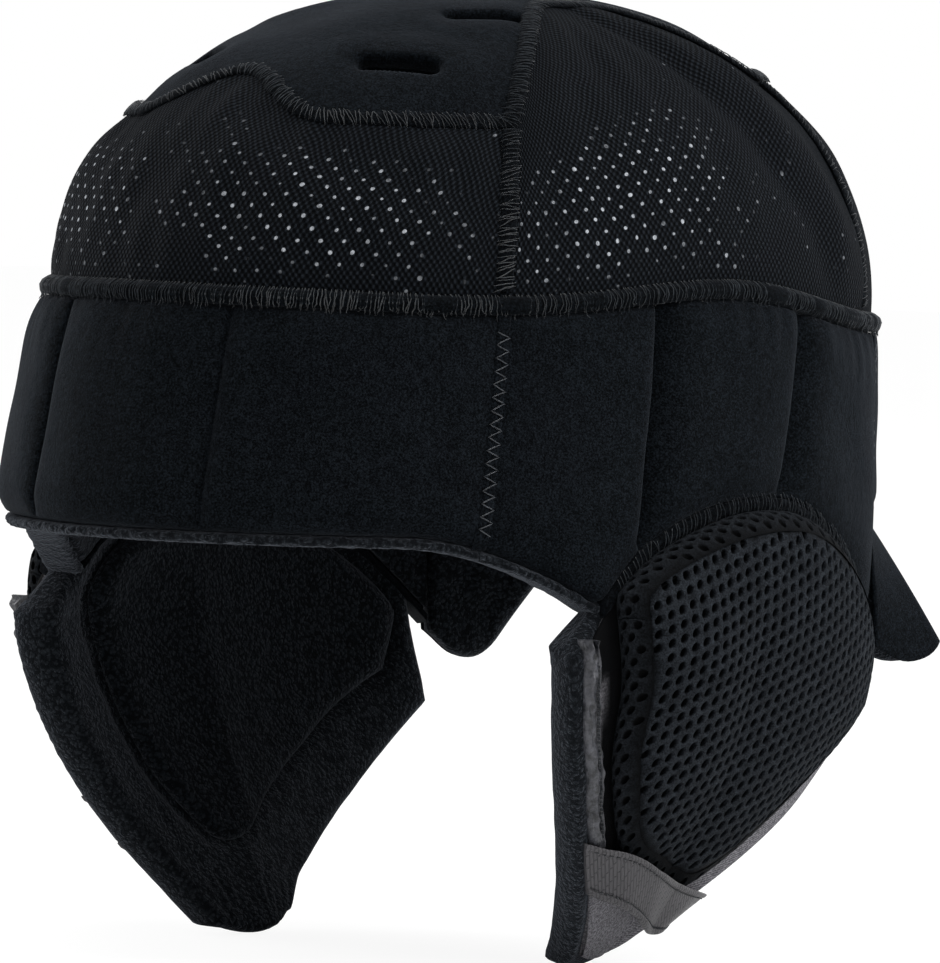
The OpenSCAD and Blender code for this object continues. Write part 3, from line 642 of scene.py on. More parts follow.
@dataclass(frozen=True)
class Knit:
    """Stretched crown knit: staggered stitch holes painted darker as painted shade, and where it is
    stretched most, wider eyelets painted pale with a faint glow round them, a painted light for the
    light behind the cloth that shows through.

    With u across and v up the cloth, cos(2 pi u / p) cos(pi v / r) is highest on a
    staggered lattice of pitch p in rows r apart. Its peaks are the holes.
    """

    name: str = "crown_knit"
    dark: tuple = (0.0006, 0.0008, 0.0012)
    light: tuple = (0.0125, 0.0156, 0.0200)
    # Painted light: the pale colour of the open eyelets, which stands for the light behind the
    # cloth showing through them.
    shine: tuple = (0.36, 0.38, 0.41)
    pitch: float = 1.35
    row: float = 0.95
    eyelet_pitch: float = 4.9
    eyelet_row: float = 2.45

    def lattice(self, w: Wiring, u: object, v: object, pitch: float, row: float) -> object:
        """The staggered lattice's height, from -1 to 1."""
        a = w.math("COSINE", w.math("MULTIPLY", u, 2 * np.pi / pitch))
        b = w.math("COSINE", w.math("MULTIPLY", v, np.pi / row))
        return w.math("MULTIPLY", a, b)

    def made(self) -> bpy.types.Material:
        """The knit's material."""
        w = Wiring(self.name)
        u, v = w.cloth()
        drift = w.node("TexNoise", {"Vector": w.place(), "Scale": 90.0, "Detail": 3.0})
        shift = w.node("SeparateXYZ", {0: drift.outputs["Color"]})
        u = w.math("MULTIPLY_ADD", shift.outputs[0], 2.2, u)
        v = w.math("MULTIPLY_ADD", shift.outputs[1], 2.2, v)
        holes = self.lattice(w, u, v, self.pitch, self.row)
        eyes = self.lattice(w, u, v, self.eyelet_pitch, self.eyelet_row)
        fuzz = w.noise(2600.0, 3.0, 0.7)
        stretched = w.math("ADD", w.depth(), -1.55)
        patchy = w.math("MULTIPLY_ADD", w.noise(130.0, 3.0), 2.4, stretched)
        reach = w.math("MULTIPLY_ADD", w.noise(420.0, 1.0), 0.34, w.math("MULTIPLY", eyes, 0.83))
        # Painted light: open_eye marks the eyelets painted pale, and the glow below is a faint
        # painted light round each.
        open_eye = w.math("MULTIPLY", w.grey(reach, 0.86, 0.95), w.grey(patchy, 0.0, 0.6))
        eyelet_painted_glow = w.math("MULTIPLY", w.grey(eyes, 0.45, 0.85), w.grey(patchy, -0.2, 0.3))
        # Painted shade: the stitch holes are painted darker, for the shaded inside seen through
        # them.
        tone = w.math("MULTIPLY_ADD", fuzz, 0.5, w.math("MULTIPLY", w.grey(holes, 0.5, -0.8), 0.5))
        tone = w.math("MULTIPLY_ADD", eyelet_painted_glow, 0.12, tone)
        middle = mixed(self.dark, self.light, 0.26)
        cloth = w.ramp(tone, [(0.24, self.dark), (0.52, middle), (0.8, self.light)])
        # Painted light on the open eyelets.
        colour = w.painted(open_eye, cloth, self.shine)
        normal = w.bump(w.grey(holes, 1.0, -1.0), 0.0004, 0.9)
        normal = w.bump(fuzz, 0.0002, 0.6, normal)
        return w.finish(colour, normal, 0.85, 0.04, (0.025, 0.3), (0.6, 0.65, 0.75))


@dataclass(frozen=True)
class Spacer:
    """Thick spacer mesh: a fuzzy web with painted shade that deepens down its modelled pockets and
    along the cushion's seam and wall.
    """

    name: str = "spacer_mesh"
    dark: tuple = (0.0025, 0.0031, 0.0040)
    light: tuple = (0.026, 0.031, 0.038)
    # Painted shade: the near-black that the depth attribute mixes in, down the pockets and along
    # the cushion's seam and wall.
    floor: tuple = (0.0005, 0.0006, 0.0008)

    def made(self) -> bpy.types.Material:
        """The spacer mesh's material."""
        w = Wiring(self.name)
        yarn = w.noise(2600.0, 3.0, 0.75)
        wide = w.noise(500.0, 2.0)
        tone = w.math("ADD", w.math("MULTIPLY", yarn, 0.8), w.math("MULTIPLY", wide, 0.2))
        web = w.ramp(tone, [(0.42, self.dark), (0.66, self.light)])
        # Painted shade by the depth attribute.
        colour = w.painted(w.grey(w.depth(), 0.05, 0.9), web, self.floor)
        normal = w.bump(wide, 0.0005, 0.3)
        normal = w.bump(yarn, 0.0003, 0.8, normal)
        return w.finish(colour, normal, 0.85, 0.05, (0.01, 0.4), (0.6, 0.65, 0.72))


@dataclass(frozen=True)
class Softshell:
    """Smooth stretch fabric with a very fine twill, with painted shade near the cushion and the
    same near-black along the top by the fold.
    """

    name: str = "softshell"
    dark: tuple = (0.046, 0.046, 0.052)
    light: tuple = (0.215, 0.209, 0.228)
    # Painted shade: the near-black painted near the cushion and along the top by the fold.
    painted_shade: tuple = (0.0008, 0.0010, 0.0014)

    def made(self) -> bpy.types.Material:
        """The softshell's material."""
        w = Wiring(self.name)
        u, v = w.cloth()
        line = w.math("SINE", w.math("MULTIPLY", w.math("ADD", u, v), 2 * np.pi / 0.45))
        grain = w.noise(1900.0, 3.0, 0.6)
        tone = w.math("MULTIPLY_ADD", line, 0.1, grain)
        plain = w.ramp(tone, [(0.36, self.dark), (0.66, self.light)])
        # Painted shade: the depth attribute mixes in the near-black.
        colour = w.painted(w.depth(), plain, self.painted_shade)
        normal = w.bump(w.noise(170.0, 3.0), 0.0009, 0.35)
        normal = w.bump(tone, 0.0002, 0.6, normal)
        return w.finish(colour, normal, 0.7, 0.06, (0.02, 0.4))


@dataclass(frozen=True)
class CoatedTape:
    """Coated binding tape: grey, a little glossy, with creases and worn lighter folds."""

    name: str = "coated_tape"
    dark: tuple = (0.008, 0.009, 0.011)
    light: tuple = (0.058, 0.060, 0.070)

    def made(self) -> bpy.types.Material:
        """The tape's material."""
        w = Wiring(self.name)
        crease = w.noise(420.0, 4.0, 0.6)
        fine = w.noise(1500.0, 2.0, 0.6)
        tone = w.math("ADD", w.math("MULTIPLY", crease, 0.65), w.math("MULTIPLY", fine, 0.35))
        colour = w.ramp(tone, [(0.4, self.dark), (0.6, self.light)])
        normal = w.bump(crease, 0.0009, 0.7)
        normal = w.bump(fine, 0.0002, 0.4, normal)
        return w.finish(colour, normal, 0.4, 0.4)


@dataclass(frozen=True)
class WovenStrap:
    """Coated strap with rows of short slanted strokes, pressed into the coating."""

    name: str = "strap_weave"
    dark: tuple = (0.012, 0.012, 0.015)
    light: tuple = (0.044, 0.042, 0.047)
    stroke: float = 3.6
    row: float = 1.0

    def made(self) -> bpy.types.Material:
        """The strap's material: in each row the strokes begin half a stroke later."""
        w = Wiring(self.name)
        u, v = w.cloth()
        rows = w.math("DIVIDE", v, self.row)
        step = w.math("MULTIPLY", w.math("FLOOR", rows), -0.42)
        slant = w.math("MULTIPLY", w.math("FRACT", rows), -0.2)
        place = w.math("ADD", w.math("ADD", w.math("DIVIDE", u, self.stroke), step), slant)
        saw = w.math("FRACT", place)
        stroke = w.grey(w.math("ABSOLUTE", w.math("SUBTRACT", saw, 0.5)), 0.47, 0.41)
        gap = w.grey(w.math("ABSOLUTE", w.math("SUBTRACT", w.math("FRACT", rows), 0.5)), 0.42, 0.28)
        worn = w.noise(700.0, 3.0)
        pressed = w.math("MULTIPLY", stroke, gap)
        tone = w.math("MULTIPLY_ADD", worn, 0.45, w.math("MULTIPLY", pressed, 0.6))
        colour = w.ramp(tone, [(0.15, self.dark), (0.8, self.light)])
        normal = w.bump(pressed, 0.00025, 0.7)
        normal = w.bump(worn, 0.0002, 0.4, normal)
        return w.finish(colour, normal, 0.4, 0.45)


@dataclass(frozen=True)
class Thread:
    """Matt sewing thread with a faint twist."""

    name: str = "thread"
    dark: tuple = (0.005, 0.0063, 0.0080)
    light: tuple = (0.031, 0.037, 0.044)

    def made(self) -> bpy.types.Material:
        """The thread's material."""
        w = Wiring(self.name)
        tone = w.noise(1200.0, 3.0, 0.7)
        colour = w.ramp(tone, [(0.35, self.dark), (0.65, self.light)])
        return w.finish(colour, w.bump(tone, 0.0001, 0.4), 0.85, 0.15, (0.2, 0.4))


def mixed(a: tuple, b: tuple, share: float) -> tuple:
    """The colour a share of the way from a to b."""
    return tuple(float(x + (y - x) * share) for x, y in zip(a, b))


class Finishes:
    """One material of each kind, shared by the pieces."""

    def __init__(self) -> None:
        """Makes each material once."""
        self.velour = Velour().made()
        self.bead = Velour(
            "seam_bead", (0.0002, 0.0003, 0.0005), (0.0050, 0.0066, 0.0086), 0.05
        ).made()
        self.teddy = Teddy().made()
        # Painted light: a lighter copy of the fleece with more sheen, for the hems and the flap's
        # fleece where the light falls brighter.
        self.lit_rim_fleece = Teddy(
            "lit_rim_fleece", (0.0026, 0.0033, 0.0042), (0.0140, 0.0170, 0.0205), 0.24
        ).made()
        self.zigzag = Thread(
            "zigzag_thread", (0.012, 0.015, 0.020), (0.050, 0.058, 0.070)
        ).made()
        self.knit = Knit().made()
        self.spacer = Spacer().made()
        self.softshell = Softshell().made()
        self.tape = CoatedTape().made()
        self.strap = WovenStrap().made()
        self.thread = Thread().made()


# How a piece is put on the frame.


@dataclass
class Fitting:
    """Where a piece belongs: its slot's name, the nodes that it hides, and the body that carries it
    when it has no fold.
    """

    slot: str
    nodes: tuple[str, ...] = ()
    body: str = "headband"
    fold: tuple[str, tuple, tuple] | None = None

    def put(self, piece: bpy.types.Object) -> bpy.types.Object:
        """Args:
            piece: The finished piece, with its final mesh.

        Returns:
            The same piece.
        """
        if self.nodes:
            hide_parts(*self.nodes)
        if self.fold is None:
            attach(piece, self.body)
        else:
            other, start, end = self.fold
            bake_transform(piece)
            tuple(start)
            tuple(end)
        LOG.info("%s: %d faces", piece.name, len(piece.data.polygons))
        return piece


def declare_sheet(
    piece: bpy.types.Object, form: Form, hold: Hold, layers: int
) -> None:
    """Works out the flat area, in square metres, of a sheet of cloth from its form.

    Args:
        piece: The sheet. Not used.
        form: Its form.
        hold: How it is held. Not used.
        layers: 2 if the form has an outer and an inner face, and otherwise 1.
    """
    area = form.area() / layers * MM * MM


def flap_fold(side: Side) -> tuple[str, tuple, tuple]:
    """The name and the two end points of the fold line of one ear flap and its side of the band."""
    x = 0.0841 * side.value
    return f"ear_flap_{side.word}", (x, 0.008, 0.002), (x, 0.008, -0.033)


# The head form.


@dataclass(frozen=True)
class HeadForm:
    """The shape that the liner is sewn to fit, in millimetres."""

    half_width: float = 84.5
    half_length: float = 106.0
    top_half_width: float = 80.6
    top_half_length: float = 101.0
    lean: float = 5.9
    band_height: float = 49.5
    seam_rise: float = 3.0
    ear_rise: float = 6.0
    ear_power: float = 14.0
    taper: float = 0.06
    crown_height: float = 117.0
    crown_shift: float = 12.0
    roundness: float = 2.1
    inset: float = 1.0
    flap_front: float = 67.0
    flap_notch: float = 70.8
    draw_in: float = 31.0
    flap_reach: float = 88.0
    flare_by: float = 8.0
    flare_depth: float = 30.0
    flare_half: float = 24.0
    arch_height: float = 8.3
    arch_angle: float = 98.0
    notch_drop: float = 13.5
    rear_drop: float = 25.0
    nape_angle: float = 130.0
    dip_angle: float = 46.0
    nape_edge: float = 2.0
    nape_lift: float = 4.0

    def seam_z(self, angle: np.ndarray) -> np.ndarray:
        """The top seam's height: band_height, plus seam_rise times the angle's cosine, plus
        an arch over the ear by a high power of its sine."""
        arch = self.ear_rise * np.abs(sin_of(angle)) ** self.ear_power
        return self.band_height + self.seam_rise * cos_of(angle) + arch

    def width(self, z: np.ndarray) -> np.ndarray:
        """Half width at a height. Below the band it draws in by the square of the depth."""
        above = mix(self.half_width, self.top_half_width, z / self.band_height)
        below = self.half_width - self.draw_in * (np.maximum(0, -z) / self.flap_reach) ** 2
        return np.where(z >= 0, above, below)

    def length(self, z: np.ndarray) -> np.ndarray:
        """Half length at a height."""
        return mix(self.half_length, self.top_half_length, np.maximum(0, z) / self.band_height)

    def centre(self, z: np.ndarray) -> np.ndarray:
        """How far back the form's centre lies at a height."""
        return self.lean * np.maximum(0, z) / self.band_height

    def flare(self, angle: np.ndarray, z: np.ndarray) -> np.ndarray:
        """How far the form flares out round the flap's front corner."""
        rise = sin_of(90 * rising(-z, 0, self.flare_depth))
        away = (np.abs(angle) - self.flap_front) / self.flare_half
        return self.flare_by * rise * np.maximum(0, 1 - away**2)

    def side(self, angle: object, z: object, out: object = 0.0) -> np.ndarray:
        """Points beside the head: an ellipse at each height, moved along its normal.

        Args:
            angle: Angles from the forehead.
            z: Heights.
            out: Distances out of the form.

        Returns:
            Points with X, Y and Z last.
        """
        angle, z, out = np.broadcast_arrays(*(np.asarray(v, float) for v in (angle, z, out)))
        w, l = self.width(z), self.length(z)
        across = unit(np.stack([sin_of(angle) / w, -cos_of(angle) / l], -1))
        off = (out + self.flare(angle, z))[..., None]
        flat = np.stack([
            w * sin_of(angle) * (1 - self.taper * cos_of(angle)),
            -l * cos_of(angle) + self.centre(z),
        ], -1)
        return np.concatenate([flat + off * across, z[..., None]], -1)

    def threads(self, angle: object, z: object, out: object, radius: object) -> Form:
        """Threads laid beside the head through rows of places.

        Args:
            angle: Angles of shape (threads, points along).
            z: Heights.
            out: Distances out of the form.
            radius: The thread's radius.

        Returns:
            All threads as one form.
        """
        path = self.side(angle, z, out)
        return thread_form(path, unit(self.side(angle, z, out + 1) - path), radius)

    def dome(self, angle: object, rise: object, out: object = 0.0) -> np.ndarray:
        """Points on the crown: a rounded dome whose section shrinks to its top as the
        rise goes from 0 to 90, moved away from the head's middle.

        Args:
            angle: Angles from the forehead.
            rise: Angles up the dome.
            out: Distances out of the dome.

        Returns:
            Points with X, Y and Z last.
        """
        angle, rise, out = np.broadcast_arrays(*(np.asarray(v, float) for v in (angle, rise, out)))
        f = np.clip(cos_of(rise), 0, 1) ** (2 / self.roundness)
        return self.dome_at(angle, f, out)

    def up_share(self, f: np.ndarray) -> np.ndarray:
        """How far up the dome its section has the share f of its size at the base: f and
        this share, each to the power of the roundness, add up to 1."""
        return np.clip(1 - np.clip(f, 0, 1) ** self.roundness, 0, 1) ** (1 / self.roundness)

    def dome_at(self, angle: np.ndarray, f: np.ndarray, out: np.ndarray | float) -> np.ndarray:
        """Points on the crown whose section has the share f of its size at the base.

        Args:
            angle: Angles in degrees.
            f: The section's share, 1 at the band and 0 at the top.
            out: Distances out of the head.

        Returns:
            The points.
        """
        base = self.seam_z(angle)
        g = self.up_share(f)
        p = np.stack([
            (self.width(base) - self.inset) * sin_of(angle) * (1 - self.taper * cos_of(angle)) * f,
            -(self.length(base) - self.inset) * cos_of(angle) * f
            + mix(self.centre(base), self.crown_shift, g),
            mix(base, self.crown_height, g),
        ], -1)
        return p + np.asarray(out)[..., None] * unit(p - HEAD_CORE)

    def dome_over(self, plan: np.ndarray) -> tuple[np.ndarray, np.ndarray]:
        """The angle and the share f of the dome point over each plan point, found by
        repeating the plan's formula turned round.

        Args:
            plan: Points in the plan.

        Returns:
            Angles and shares.
        """
        u, v = plan[:, 0] / self.top_half_width, -(plan[:, 1] - 10) / self.top_half_length
        for _ in range(12):
            angle = np.degrees(np.arctan2(u, v))
            f = np.hypot(u, v)
            base = self.seam_z(angle)
            g = self.up_share(f)
            middle = mix(self.centre(base), self.crown_shift, g)
            u = plan[:, 0] / ((self.width(base) - self.inset) * (1 - self.taper * cos_of(angle)))
            v = (middle - plan[:, 1]) / (self.length(base) - self.inset)
        return np.degrees(np.arctan2(u, v)), np.hypot(u, v)

    def rise_at(self, angle: np.ndarray, up: float) -> np.ndarray:
        """The rise at which the dome is a given height above the seam."""
        share = (up / (self.crown_height - self.seam_z(angle))) ** (self.roundness / 2)
        return np.degrees(np.arcsin(share))

    def up_step(self, angle: np.ndarray, rise: np.ndarray, distance: float) -> np.ndarray:
        """The change in rise that moves a point up the dome by a distance."""
        step = self.dome(angle, rise + 0.5) - self.dome(angle, rise - 0.5)
        return distance / np.linalg.norm(step, axis=-1)

    def dome_normal(self, angle: np.ndarray, rise: np.ndarray) -> np.ndarray:
        """The dome's outward direction."""
        across = self.dome(angle + 0.5, rise) - self.dome(angle - 0.5, rise)
        upward = self.dome(angle, rise + 0.5) - self.dome(angle, rise - 0.5)
        return unit(np.cross(across, upward))

    def arch_z(self, a: np.ndarray) -> np.ndarray:
        """The height of the band's edge over the flap, on two powers that meet at its top."""
        fore = np.maximum(0, self.arch_angle - a) / (self.arch_angle - self.flap_notch)
        aft = np.maximum(0, a - self.arch_angle) / (self.nape_angle - self.arch_angle)
        return self.arch_height - np.where(
            a < self.arch_angle,
            (self.arch_height + self.notch_drop) * fore**2.5,
            (self.arch_height + self.rear_drop) * aft**1.75,
        )

    def edge_z(self, angle: np.ndarray) -> np.ndarray:
        """The height of the band's lower edge: level at the forehead, dipping in front of
        the flap, arched over it, and level again over the nape."""
        a = np.where(np.asarray(angle) > 180, 360 - np.asarray(angle), np.abs(angle))
        away = np.maximum(0, a - self.dip_angle) / (self.flap_notch - self.dip_angle)
        dip = -self.notch_drop * away**2
        nape = self.nape_edge + self.nape_lift * rising(a, 152, 180) ** 2
        front = np.where(a < self.flap_notch, dip, self.arch_z(a))
        return np.where(a <= self.nape_angle, front, nape)


# The headband.


@dataclass
class Headband:
    """The padded band: velour panels with sewn channels, a fleece lining and hem, and
    the overlocked seam that joins it to the crown."""

    head: HeadForm
    finishes: Finishes
    thickness: float = 7.0
    fleece: float = 3.0
    puff: float = 2.2
    roll: float = 2.0
    hem_height: float = 2.2
    seam_width: float = 4.4
    rim: float = 1.2
    crease: dict = field(default_factory=lambda: {18: 1.1, 78: 3.4, 103: 3.6, 152: 1.2, 208: 1.2})
    front_seams: tuple = (-56.2, -18.0, 18.0, 56.2)
    side_seams: tuple = (56.4, 78.0, 103.0, 130.0)
    nape_seams: tuple = (131.0, 152.0, 208.0, 229.0)
    side_join: float = 56.3
    nape_join: float = 130.5
    nape_puff: float = 0.35
    crease_lean: float = 3.2

    def fullness(self, angle: np.ndarray, seams: tuple) -> np.ndarray:
        """How full a channel is: 0 on its seams and 1 between them, by a fourth power."""
        full = np.zeros_like(angle)
        for low, high in zip(seams, seams[1:]):
            share = np.abs(2 * (angle - low) / (high - low) - 1)
            full = np.maximum(full, 1 - np.minimum(share, 1) ** 4)
        return full

    def face_out(self, angle: np.ndarray, share: np.ndarray, seams: tuple) -> np.ndarray:
        """The outer face: full at mid height, drawn in at both edges, and rolled inward
        along the lower one, with small gathers under the top seam.

        Args:
            angle: Angles in degrees.
            share: The share of the band's height, 0 at its lower edge.
            seams: The angles of the creases.

        Returns:
            Distances out of the head.
        """
        full = 0.25 + 0.75 * self.fullness(angle, seams)
        top = self.puff * full * (1 - np.abs(2 * share - 1) ** 6)
        top = top * np.where(np.abs(angle) > 130.4, self.nape_puff, 1.0)
        arched = rising(np.abs(angle), 66, 72) * (np.abs(angle) < 131)
        top -= self.roll * (1 - 0.95 * arched) * np.maximum(0, 1 - share / 0.14) ** 2
        for seam in seams[1:-1]:
            away = angle - seam
            deep = self.crease[int(abs(seam))] * rising(share, 0, 0.06)
            wide = 0.45 * deep + 0.6
            top -= deep * np.where(away < 0, np.exp(away / 0.5), np.exp(-((away / wide) ** 1.4)))
        along = angle * 1.75
        gathers = rumple(along, share * 8, 5.5, 0.16, 5) * rising(share, 0.7, 1)
        return top + gathers + rumple(along, share * 50, 26, 0.22, 11)

    def z_of(self, angle: np.ndarray, share: np.ndarray) -> np.ndarray:
        """The height at a share of the cover's height, from its hem to its top seam."""
        low = self.head.edge_z(angle) + self.hem_height + 0.1
        return mix(low, self.head.seam_z(angle) - self.seam_width / 2 - 0.2, share)

    def out_at(self, angle: np.ndarray, z: np.ndarray, seams: tuple) -> np.ndarray:
        """The outer face's distance at an angle and a height."""
        low, high = self.z_of(angle, np.zeros_like(angle)), self.z_of(angle, np.ones_like(angle))
        return self.face_out(angle, np.clip((z - low) / (high - low), 0, 1), seams)

    def columns(self, seams: tuple) -> np.ndarray:
        """The angles of a panel's columns, closer beside its seams."""
        return closer_at(seams[0], seams[-1], 0.7, list(seams[1:-1]), 0.7)

    def panel(self, name: str, seams: tuple, fitting: Fitting, side: Side = Side.LEFT) -> None:
        """A velour panel with the foam of its channels inside it. Its seams lean forward
        towards the lower edge beside the ear.

        Args:
            name: The piece's name.
            seams: The angles of its ends and of its channel seams.
            fitting: What it replaces and rides on.
            side: The side that it is made for.
        """
        angle = self.columns(seams)
        share = stations(48.0, 1.3, self.rim)
        cut, s = np.meshgrid(angle, share)
        a = cut - self.crease_lean * rising(cut, 70, 103) * rising(cut, 130, 110) * (1 - s) ** 1.5
        z = self.z_of(a, s)
        top = self.face_out(cut, s, seams)
        form = ply_form(
            lambda out: self.head.side(a, z, out), top, -self.thickness, a.shape, self.rim
        )
        piece = form.on(side).made(name, self.finishes.velour)
        fitting.put(piece)

    def lining(
        self, name: str, low: float, high: float, fitting: Fitting, side: Side = Side.LEFT
    ) -> None:
        """The fleece inside the band between two angles.

        Args:
            name: The piece's name.
            low: Its first angle in degrees.
            high: Its last angle.
            fitting: How it is put on the frame.
            side: The side that it is made for.
        """
        a, s = np.meshgrid(closer_at(low, high, 0.9, [], 0.9), stations(48.0, 1.6, 1.4))
        z = self.z_of(a, 0.01 + 0.99 * s)
        outer = -self.thickness - 0.1
        inner = outer - self.fleece + rumple(a * 1.6, z, 7, 0.18, 21)
        form = ply_form(lambda out: self.head.side(a, z, out), outer, inner, a.shape, 1.4)
        piece = form.on(side).made(name, self.finishes.teddy)
        declare_sheet(fitting.put(piece), form, Hold.STRETCHED, 2)

    def hem(
        self, name: str, low: float, high: float, fitting: Fitting, side: Side = Side.LEFT,
        joined_to_flap: bool = False,
    ) -> None:
        """The rolled edge: a soft section carried round it, with small lumps. It is fleece,
        and velour that laps over the flap where it joins one.

        Args:
            name: The piece's name.
            low: Its first angle in degrees.
            high: Its last angle.
            fitting: How it is put on the frame.
            side: The side that it is made for.
            joined_to_flap: Whether it laps over the ear flap.
        """
        edge = [[-1.3, 1.2], [-2.3, -0.1], [-4.6, -0.2]]
        if joined_to_flap:
            edge = [[0.1, 2.7], [0.75, 1.3], [0.7, -0.1], [-0.3, -1.0], [-3.0, -0.7]]
        section = rounded(np.array([
            *edge, [-7.6, -0.2], [-9.6, 0.0], [-10.1, 1.1], [-9.6, 2.2], [-6.0, 2.25], [-2.0, 2.25],
        ]), 2)
        angle = np.linspace(low, high, int((high - low) * 2.2))
        middle = section.mean(0)
        lumps = 1 + rumple(angle[:, None] * 1.75, np.arange(len(section)) * 0.8, 3.2, 0.06, 31)
        ring = middle + (section - middle) * lumps[..., None]
        z = self.head.edge_z(angle)[:, None] + ring[..., 1]
        form = skin_form(self.head.side(angle[:, None], z, ring[..., 0]), False)
        # The fleece hem takes the lighter, painted-light copy of the fleece.
        cloth = self.finishes.bead if joined_to_flap else self.finishes.lit_rim_fleece
        piece = form.on(side).made(name, cloth)
        declare_sheet(fitting.put(piece), form, Hold.FOLDED, 2)

    def lap_threads(self, side: Side) -> None:
        """Overlock stitches over the velour where it laps over the flap.

        Args:
            side: The side that it is made for.
        """
        rng = np.random.default_rng(17)
        count = 105
        at = np.linspace(73, 129, count)[:, None] + rng.normal(0, 0.12, (count, 1))
        t = np.linspace(0, 1, 7)
        dz = mix(3.3, -0.5, t) + rng.normal(0, 0.3, (count, 1))
        a = at + rng.normal(0.3, 0.35, (count, 1)) * (t - 0.5)
        out = 0.75 + 0.55 * np.sin(np.pi * t) + rng.uniform(0, 0.15, (count, 1))
        form = self.head.threads(a, self.head.edge_z(a) + dz, out, 0.09).on(side)
        fitting = Fitting("thread", fold=flap_fold(side))
        fitting.put(form.made(f"lap_threads_{side.word}", self.finishes.thread))

    def bed(self, name: str, angle: float, fitting: Fitting, side: Side) -> None:
        """The narrow velour join under the zigzag between two panels."""
        a, s = np.meshgrid(angle + np.linspace(-0.95, 0.95, 9), stations(46.0, 1.5, 0.8))
        z = self.z_of(np.full_like(a, angle), s)
        top = self.out_at(np.full_like(a, angle), z, (angle, angle + 1)) + 0.45
        form = ply_form(lambda out: self.head.side(a, z, out), top, top - 0.9, a.shape, 0.7)
        fitting.put(form.on(side).made(name, self.finishes.velour))

    def zigzag(self, name: str, angle: float, side: Side) -> None:
        """Zigzag stitching: one thread that steps from side to side up the join.

        Args:
            name: The piece's name.
            angle: The join's angle in degrees.
            side: The side that it is made for.
        """
        low = float(self.z_of(np.array(angle), np.array(0.06)))
        high = float(self.z_of(np.array(angle), np.array(0.93)))
        corners = int((high - low) / 1.35)
        at = np.linspace(0, corners, corners * 5 + 1)
        sway = np.abs((at % 2) - 1) * 2 - 1
        z = mix(low, high, at / corners) + rumple(at, at, 3, 0.1, 3)
        a = angle + sway * 0.82
        out = self.out_at(np.full_like(a, angle), z, (angle, angle + 1)) + 0.62
        form = self.head.threads(a[None], z[None], out[None], 0.13).on(side)
        Fitting("thread").put(form.made(name, self.finishes.zigzag))

    def top_seam(self) -> None:
        """The overlocked seam round the top: a soft bead, and the threads that wrap over
        it and fray down over the velour."""
        section = rounded(np.array([
            [-2.6, 1.5], [-0.6, 1.5], [0.8, 0.9], [1.3, -0.2], [1.1, -1.4], [-0.1, -2.6],
            [-4.6, -2.4], [-4.0, 0.0],
        ]), 2)
        angle = np.linspace(0, 360, 420, endpoint=False)
        wobble = rumple(angle * 1.7, angle * 0, 9, 0.18, 41)[:, None]
        z = self.head.seam_z(angle)[:, None] + section[:, 1]
        rings = self.head.side(angle[:, None], z, section[:, 0] + wobble)
        piece = skin_form(rings, True).made("top_seam", self.finishes.bead)
        Fitting("thread", ("band_top_seam",)).put(piece)
        self.top_threads()

    def top_threads(self) -> None:
        """The seam's threads: each starts on the mesh, crosses the bead and ends at a
        random length and slant on the velour."""
        rng = np.random.default_rng(7)
        count = 760
        angle = (np.linspace(0, 360, count, endpoint=False) + rng.normal(0, 0.13, count))[:, None]
        slant = rng.normal(0.15, 0.4, count)[:, None]
        reach = rng.uniform(0.5, 2.2, count)[:, None]
        t = np.linspace(0, 1, 8)
        drop = np.concatenate([
            np.broadcast_to([1.9, 1.4, 0.6, -0.4, -1.5], (count, 5)),
            -1.5 - reach * np.array([0.35, 0.7, 1.0]),
        ], 1)
        a = angle + slant * (t - 0.3) + rng.normal(0, 0.08, (count, 8))
        whole = np.mod(a, 360)
        z = self.head.seam_z(a) + drop
        turned = np.where(whole > 230, whole - 360, whole)
        front = self.front_seams[0]
        joins = (front, self.side_join, self.nape_join)
        face = np.zeros_like(a)
        for low, seams in zip(joins, (self.front_seams, self.side_seams, self.nape_seams)):
            face = np.where(turned >= low, self.out_at(turned, z, seams), face)
        mirrored = np.abs(turned)
        face = np.where(turned < front, self.out_at(mirrored, z, self.side_seams), face)
        bead = np.interp(-drop, [-1.9, -1.0, 0.2, 1.6, 2.6], [-1.2, 0.75, 1.4, 0.95, 0.2])
        loose = rng.uniform(0.0, 0.3, count)[:, None] * t**2
        out = np.maximum(np.where(drop > -2.6, bead, -9), np.where(drop < -1.8, face + 0.1, -9))
        taper = np.array([0.7, 1, 1, 1, 1, 0.95, 0.8, 0.35])
        form = self.head.threads(a, z, out + loose, rng.uniform(0.07, 0.14, count)[:, None] * taper)
        Fitting("thread").put(form.made("top_seam_threads", self.finishes.thread))

    def build(self) -> None:
        """Builds the whole band."""
        ends = (self.front_seams[0], self.front_seams[-1])
        front = ("band_cover_front", "foam_forehead", "foam_temple_left", "foam_temple_right")
        self.panel("headband_front", self.front_seams, Fitting("velour", front))
        self.panel("headband_nape", self.nape_seams, Fitting("velour", ("nape_cover", "foam_nape")))
        self.lining("lining_front", *ends, Fitting("fleece", ("band_lining",)))
        self.lining("lining_nape", 130.3, 229.7, Fitting("fleece", ("nape_lining",)))
        self.hem("hem_front", *ends, Fitting("fleece", ("front_hem",)))
        self.hem("hem_nape", 130.2, 229.8, Fitting("fleece", ("nape_hem",)))
        for side in Side:
            self.build_side(side)
        self.top_seam()

